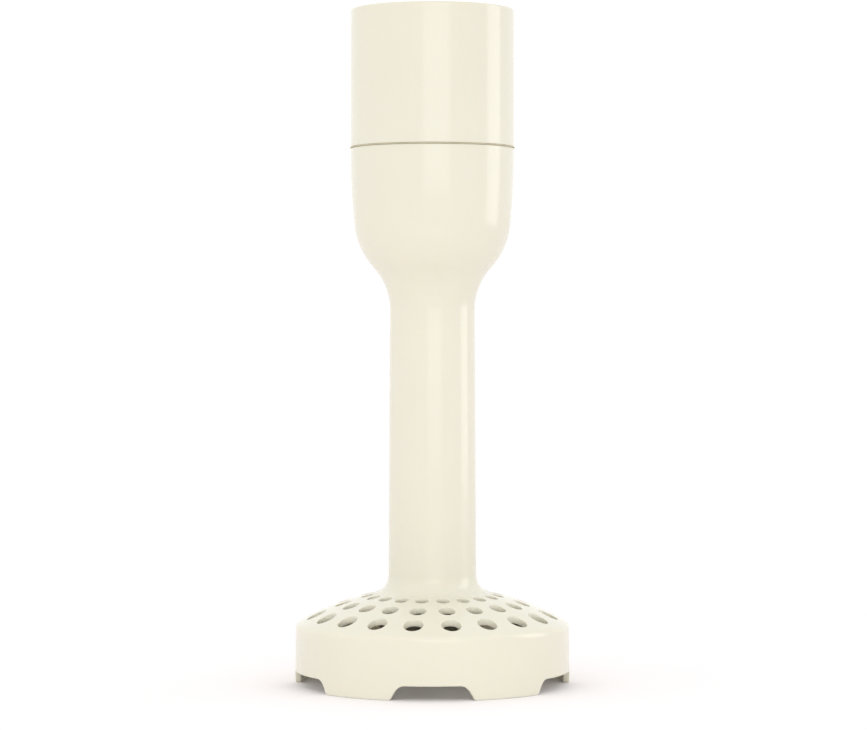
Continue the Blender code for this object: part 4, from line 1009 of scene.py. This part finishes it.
class MASHER_OT_paddle(bpy.types.Operator):
    """Build the paddle with its swept blades"""

    bl_idname = "masher.paddle"
    bl_label = "Paddle"

    def execute(self, context):
        low, high = node_span("paddle")
        self.shape = LegShape(context.scene.masher_sizes)
        self.top = high[2]
        self.reach = self.shape.inner_rim - PADDLE_RIM_GAP
        outline = softened(
            [
                (0, high[2]),
                (PADDLE_HUB_RADIUS, high[2], 0.9),
                (PADDLE_HUB_RADIUS, low[2], 2.4),
                (0, low[2]),
            ],
            steps=6,
        )
        blades = [self.blade(FRONT + 360.0 * number / PADDLE_BLADES) for number in range(PADDLE_BLADES)]
        bore = column(hexagon(HEX_SOCKET_RADIUS), socket_levels(low[2] + PADDLE_CAP, high[2]))
        make_piece("swept_paddle", [turned(outline, SMALL_COLUMNS)], "paddle", joined=blades, cut=[bore])
        return {"FINISHED"}

    def blade(self, start):
        """A rounded oblong section carried outwards from inside the hub, turning back with the radius.

        The section's points are the corner circles' centres plus their radius times a direction, and the top
        leans forward. It is level beside the hub, and follows the dome's underside beyond the boss's radius.
        At the tip it shrinks by its edge radius along a quarter circle.
        """
        root = PADDLE_HUB_RADIUS - 2.0
        clear = LOWER_BOSS_RADIUS + BLADE_PAST_BOSS
        inner = np.array((root, clear - 0.3, clear, clear + 0.2, clear + 0.4, clear + 0.6))
        along = np.linspace(clear + 1.0, self.reach - BLADE_EDGE, 26)
        bend = np.radians(np.linspace(0, 90, 5))[1:]
        radius = np.concatenate((inner, along, self.reach - BLADE_EDGE * (1 - np.sin(bend))))
        inset = np.concatenate((0 * inner, 0 * along, BLADE_EDGE * (1 - np.cos(bend))))
        step = smooth_step(np.clip((radius - clear) / 0.6, 0, 1))
        root_top = self.top - BLADE_BELOW_HUB_TOP
        under_dome = self.shape.under_height(radius) - BLADE_UNDER_DOME
        top = root_top + (under_dome - root_top) * step
        root_foot = root_top - BLADE_HEIGHT * BLADE_ROOT_SHARE
        foot = root_foot + (under_dome - BLADE_HEIGHT - root_foot) * step
        turn = np.radians(np.arange(32) * 360 / 32 + 5.625)[None, :]
        inset, edge = inset[:, None], BLADE_EDGE - inset[:, None]
        side = np.sign(np.cos(turn)) * (BLADE_THICKNESS / 2 - BLADE_EDGE) + edge * np.cos(turn)
        upper = np.sin(turn) > 0
        middle = np.where(upper, top[:, None] - inset - edge, foot[:, None] + inset + edge)
        level = middle + edge * np.sin(turn)
        height = (top - foot)[:, None]
        across = side + BLADE_LEAN * ((level - foot[:, None]) / height - 0.5)
        swept = np.maximum(radius - PADDLE_HUB_RADIUS, 0) / (self.reach - PADDLE_HUB_RADIUS)
        angle = np.radians(start - BLADE_SWEEP * swept)[:, None]
        x = radius[:, None] * np.cos(angle) - across * np.sin(angle)
        y = radius[:, None] * np.sin(angle) + across * np.cos(angle)
        return capped(np.stack((x, y, level), axis=-1))


# ---- Bearings and seals ----

BUSH_FLANGE = 1.0
SHAFT_BUSH = (4.15, 6.25)
INPUT_BUSH = (3.05, 5.15)
SEAL_LIP_RADIUS = 4.15
WASHER_BORE = 4.6


class MASHER_OT_bearings(bpy.types.Operator):
    """Build the sintered bushes, the rubber seals and the washer behind the shaft's seal"""

    bl_idname = "masher.bearings"
    bl_label = "Bushes and Seals"

    def execute(self, context):
        self.bush("upper_bush", SHAFT_BUSH, flange_up=True)
        self.bush("output_bush", SHAFT_BUSH, flange_up=False)
        self.bush("input_bush", INPUT_BUSH, flange_up=True)
        self.shaft_seal()
        self.motor_side_seal()
        low, high = node_span("seal_washer")
        corners = [(high[0], high[2], 0.15), (high[0], low[2], 0.15)]
        corners += [(WASHER_BORE, low[2], 0.15), (WASHER_BORE, high[2], 0.15)]
        make_piece("steel_washer", [turned_ring(corners)], "seal_washer")
        return {"FINISHED"}

    def bush(self, node, radii, flange_up):
        """A flanged tube, with its flange at the top or at the bottom."""
        bore, outer = radii
        low, high = node_span(node)
        near, far = (high[2], low[2]) if flange_up else (low[2], high[2])
        under = near + math.copysign(BUSH_FLANGE, far - near)
        corners = [
            (high[0], near, 0.2),
            (high[0], under, 0.2),
            (outer, under, 0.15),
            (outer, far, 0.3),
            (bore, far, 0.3),
            (bore, near, 0.35),
        ]
        make_piece(node + "_turned", [turned_ring(corners)], node)

    def shaft_seal(self):
        """A rubber ring with a recess on its underside and a sprung lip that bears on the shaft."""
        low, high = node_span("shaft_seal")
        corners = [
            (high[0], high[2], 0.3),
            (high[0], low[2], 0.3),
            (high[0] - 1.1, low[2], 0.25),
            (high[0] - 1.4, low[2] + 1.5, 0.4),
            (SEAL_LIP_RADIUS + 1.1, low[2] + 1.3, 0.4),
            (SEAL_LIP_RADIUS + 0.5, low[2] + 0.1, 0.15),
            (SEAL_LIP_RADIUS, low[2] + 0.5, 0.1),
            (SEAL_LIP_RADIUS + 0.5, high[2], 0.2),
        ]
        make_piece("lip_seal", [turned_ring(corners)], "shaft_seal")

    def motor_side_seal(self):
        """A rubber ring on the socket's floor, with a lip that stands up round the coupler's foot."""
        low, high = node_span("motor_side_seal")
        inner = high[0] - 2.2
        corners = [
            (high[0], low[2], 0.2),
            (high[0], low[2] + 1.0, 0.35),
            (inner + 1.1, low[2] + 1.0, 0.4),
            (inner + 0.8, high[2], 0.25),
            (inner + 0.1, high[2], 0.2),
            (inner, low[2], 0.2),
        ]
        make_piece("socket_seal", [turned_ring(corners)], "motor_side_seal")


# ---- Bearing carrier, gear cover and screws ----

CARRIER_HUB_LENGTH = 12.0
CARRIER_PLATE = 2.5
CUP_OUTER_GAP = 2.3
CUP_WALL = 1.8
SPIGOT_RADIUS = 21.5
SPIGOT_WALL = 2.0
COVER_PLATE = 5.0
COVER_HUB_DROP = 3.0
RING_SEAT = (20.12, 21.4)
SCREW_SHANK = 1.2
SCREW_HEAD = 1.8
SCREW_TIP = 1.2
SCREW_HOLE = 1.5
SCREW_RECESS = 2.1
SCREW_SIDES = 40
CROSS_ARM = 1.05
CROSS_HALF_WIDTH = 0.24
CROSS_DEPTH = 1.0


def rod_at(node, radius, foot, top):
    """An upright round rod on a screw's axis."""
    low, high = node_span(node)
    middle = (low + high) / 2
    circle = polygon(np.full(SCREW_SIDES, radius), np.arange(SCREW_SIDES) / SCREW_SIDES)
    return column(circle, ((foot, 0), (top, 0))) + (middle[0], middle[1], 0)


class MASHER_OT_bearing_carrier(bpy.types.Operator):
    """Build the bearing carrier that is screwed onto the ledge in the leg"""

    bl_idname = "masher.bearing_carrier"
    bl_label = "Bearing Carrier"

    def execute(self, context):
        low, high = node_span("bearing_carrier")
        foot = low[2] + CARRIER_HUB_LENGTH
        top = foot + CARRIER_PLATE
        cup = high[0] - CUP_OUTER_GAP
        corners = [
            (cup, high[2], 0.6),
            (cup, top, 0.5),
            (high[0], top, 0.3),
            (high[0], foot, 0.3),
            (BUSH_SEAT + HUB_WALL, foot, 0.8),
            (BUSH_SEAT + HUB_WALL, low[2], 0.4),
            (BUSH_SEAT, low[2], 0.3),
            (BUSH_SEAT, top, 0.2),
            (cup - CUP_WALL, top, 0.6),
            (cup - CUP_WALL, high[2], 0.6),
        ]
        holes = [rod_at(f"carrier_screw_{n}", SCREW_HOLE, foot - 1, top + 1) for n in SCREW_NUMBERS]
        make_piece("carrier_cup", [turned_ring(corners, 192)], "bearing_carrier", cut=holes)
        return {"FINISHED"}


class MASHER_OT_gear_cover(bpy.types.Operator):
    """Build the cover that closes the gearbox from below, with its spigot and screw recesses"""

    bl_idname = "masher.gear_cover"
    bl_label = "Gear Cover"

    def execute(self, context):
        low, high = node_span("gear_cover")
        under = node_span("cover_screw_1")[0][2]
        top = under + COVER_PLATE
        ring_inner, ring_outer = RING_SEAT
        hub_foot = under - COVER_HUB_DROP
        corners = [
            (ring_outer, high[2], 0.2),
            (ring_outer, top, 0.3),
            (high[0], top, 0.3),
            (high[0], under, 0.4),
            (SPIGOT_RADIUS, under, 0.4),
            (SPIGOT_RADIUS, low[2], 0.7),
            (SPIGOT_RADIUS - SPIGOT_WALL, low[2], 0.7),
            (SPIGOT_RADIUS - SPIGOT_WALL, under, 0.8),
            (BUSH_SEAT + HUB_WALL, under, 0.8),
            (BUSH_SEAT + HUB_WALL, hub_foot, 0.4),
            (BUSH_SEAT, hub_foot, 0.3),
            (BUSH_SEAT, top, 0.2),
            (ring_inner, top, 0.3),
            (ring_inner, high[2], 0.2),
        ]
        nodes = [f"cover_screw_{n}" for n in SCREW_NUMBERS]
        holes = [rod_at(node, SCREW_HOLE, under - 1, top + 1) for node in nodes]
        holes += [rod_at(node, SCREW_RECESS, under - 1, under + SCREW_HEAD + 0.3) for node in nodes]
        make_piece("gearbox_cover", [turned_ring(corners, 192)], "gear_cover", cut=holes)
        return {"FINISHED"}


class MASHER_OT_screws(bpy.types.Operator):
    """Build the six screws, with crossed recesses in their heads"""

    bl_idname = "masher.screws"
    bl_label = "Screws"

    def execute(self, context):
        for number in SCREW_NUMBERS:
            self.screw(f"carrier_screw_{number}", 1)
            self.screw(f"cover_screw_{number}", -1)
        return {"FINISHED"}

    def screw(self, node, up):
        """A pointed shank under a domed head, outlined from its tip, with a cross cut into the head."""
        low, high = node_span(node)
        middle = (low + high) / 2
        length, head = high[2] - low[2], (high[0] - low[0]) / 2
        neck = length - SCREW_HEAD
        outline = softened(
            [
                (0, 0),
                (0.3, 0.05, 0.1),
                (SCREW_SHANK, SCREW_TIP, 0.3),
                (SCREW_SHANK, neck, 0.1),
                (head, neck, 0.15),
                (head, length, 1.1),
                (0, length),
            ]
        )
        arm, half = CROSS_ARM, CROSS_HALF_WIDTH
        quarter = np.array(((arm, -half), (arm, half), (half, half)))
        turns = [np.array(((c, s), (-s, c))) for c, s in ((1, 0), (0, 1), (-1, 0), (0, -1))]
        cross = np.concatenate([quarter @ turn for turn in turns])
        recess = column(cross, ((length - CROSS_DEPTH, -0.35), (length + 0.2, 0.05)))
        grids = [turned(outline, SCREW_SIDES), recess]
        start = low[2] if up > 0 else high[2]
        placed = [grid * (1, up, up) + (middle[0], middle[1], start) for grid in grids]
        make_piece(node + "_turned", placed[:1], node, cut=placed[1:])


# ---- What stays as the frame has it ----


class MASHER_OT_working_parts(bpy.types.Operator):
    """Give each working part that is shown as it is the finish of its slot"""

    bl_idname = "masher.working_parts"
    bl_label = "Working Parts"

    def execute(self, context):
        for node, obj in frame["nodes"].items():
            obj.data.materials.clear()
            obj.data.materials.append(finish(SLOT_OF[node]))
        return {"FINISHED"}


# ---- Stage ----

CAMERA_PLACE = (0.0004, -1.02, 0.131)
CAMERA_PITCH = 0.797
CAMERA_LENS = 115.5
FLOOR_RADIUS = 60000
FLOOR_RINGS = 7
FLOOR_DROP = 0.02
WORLD_STRENGTH = 1.12


def soft_box(name, place, target, size, brightness):
    """A studio box aimed at a point. It starts out as one that shows in the gloss only."""
    data = bpy.data.lights.new(name, "AREA")
    data.shape = "RECTANGLE"
    data.size, data.size_y = size
    data.energy = brightness * math.pi * size[0] * size[1]
    light = bpy.data.objects.new(name, data)
    bpy.context.scene.collection.objects.link(light)
    light.location = place
    light.rotation_euler = (Vector(target) - Vector(place)).to_track_quat("-Z", "Y").to_euler()
    light.visible_diffuse = False
    light.visible_camera = False
    return light


class MASHER_OT_stage(bpy.types.Operator):
    """Lay a pale floor and set up soft studio light and the camera"""

    bl_idname = "masher.stage"
    bl_label = "Stage"

    def execute(self, context):
        scene = context.scene
        scene.view_settings.view_transform = "Standard"
        self.floor()
        self.world(scene)
        soft_box("front_box", (0.25, -2.5, 0.5), (0, 0, 0.12), (1.7, 1.6), 1.1)
        soft_box("right_strip", (1.22, 0.12, 0.35), (0, 0, 0.12), (0.56, 1.4), 1.75)
        fill = soft_box("low_fill", (0, -0.4, 0.02), (0, 0, 0.03), (0.5, 0.03), 4.2)
        fill.visible_diffuse = True
        fill.visible_glossy = False
        camera = bpy.data.objects.new("camera", bpy.data.cameras.new("camera"))
        camera.data.lens = CAMERA_LENS
        camera.location = CAMERA_PLACE
        camera.rotation_euler = (math.radians(90 - CAMERA_PITCH), 0, 0)
        scene.collection.objects.link(camera)
        scene.camera = camera
        return {"FINISHED"}

    def floor(self):
        """A flat disc: rings of points on the floor, from the middle outwards."""
        radius = np.linspace(0, FLOOR_RADIUS, FLOOR_RINGS)[:, None]
        grid = round_surface(radius, even_angles(SMALL_COLUMNS), 0 * radius - FLOOR_DROP)
        faces = quads_of(FLOOR_RINGS, SMALL_COLUMNS, False, 0)
        floor = placed_mesh("floor", *welded(grid.reshape(-1, 3), faces))
        made = Finish("floor_finish", 0.9)
        made.colours(made.noise(6.0, 3.0), (0.3, (0.93, 0.90, 0.905)), (0.7, (0.95, 0.92, 0.925)))
        made.feed(made.spread(made.noise(40.0, 3.0), 0.82, 0.95), "Roughness")
        made.set(Specular_IOR_Level=0.1)
        floor.data.materials.append(made.material)

    def world(self, scene):
        world = bpy.data.worlds.new("studio")
        scene.world = world
        world.use_nodes = True
        background = world.node_tree.nodes["Background"]
        background.inputs["Color"].default_value = (1.0, 1.0, 1.0, 1.0)
        background.inputs["Strength"].default_value = WORLD_STRENGTH


# ---- Panel, registration and the run ----

PIECES = (
    MASHER_OT_working_parts,
    MASHER_OT_leg,
    MASHER_OT_housing,
    MASHER_OT_gasket,
    MASHER_OT_couplings,
    MASHER_OT_drive_shaft,
    MASHER_OT_paddle,
    MASHER_OT_bearings,
    MASHER_OT_bearing_carrier,
    MASHER_OT_gear_cover,
    MASHER_OT_screws,
)


class MASHER_PT_sidebar(bpy.types.Panel):
    """Lists the sizes, the colours and the pieces"""

    bl_label = "Masher Attachment"
    bl_idname = "MASHER_PT_sidebar"
    bl_space_type = "VIEW_3D"
    bl_region_type = "UI"
    bl_category = "Masher"

    def draw(self, context):
        column = self.layout.column()
        for group in (context.scene.masher_sizes, context.scene.masher_colours):
            for name in group.__annotations__:
                column.prop(group, name)
        for operator in (*PIECES, MASHER_OT_stage):
            column.operator(operator.bl_idname)


CLASSES = (MasherSizes, MasherColours, *PIECES, MASHER_OT_stage, MASHER_PT_sidebar)


def register():
    for cls in CLASSES:
        bpy.utils.register_class(cls)
    bpy.types.Scene.masher_sizes = bpy.props.PointerProperty(type=MasherSizes)
    bpy.types.Scene.masher_colours = bpy.props.PointerProperty(type=MasherColours)


def unregister():
    del bpy.types.Scene.masher_colours
    del bpy.types.Scene.masher_sizes
    for cls in reversed(CLASSES):
        bpy.utils.unregister_class(cls)


def main():
    register()
    bpy.ops.masher.working_parts()
    bpy.ops.masher.leg()
    bpy.ops.masher.housing()
    bpy.ops.masher.gasket()
    bpy.ops.masher.couplings()
    bpy.ops.masher.drive_shaft()
    bpy.ops.masher.paddle()
    bpy.ops.masher.bearings()
    bpy.ops.masher.bearing_carrier()
    bpy.ops.masher.gear_cover()
    bpy.ops.masher.screws()
    bpy.ops.masher.stage()


if __name__ == "__main__":
    main()
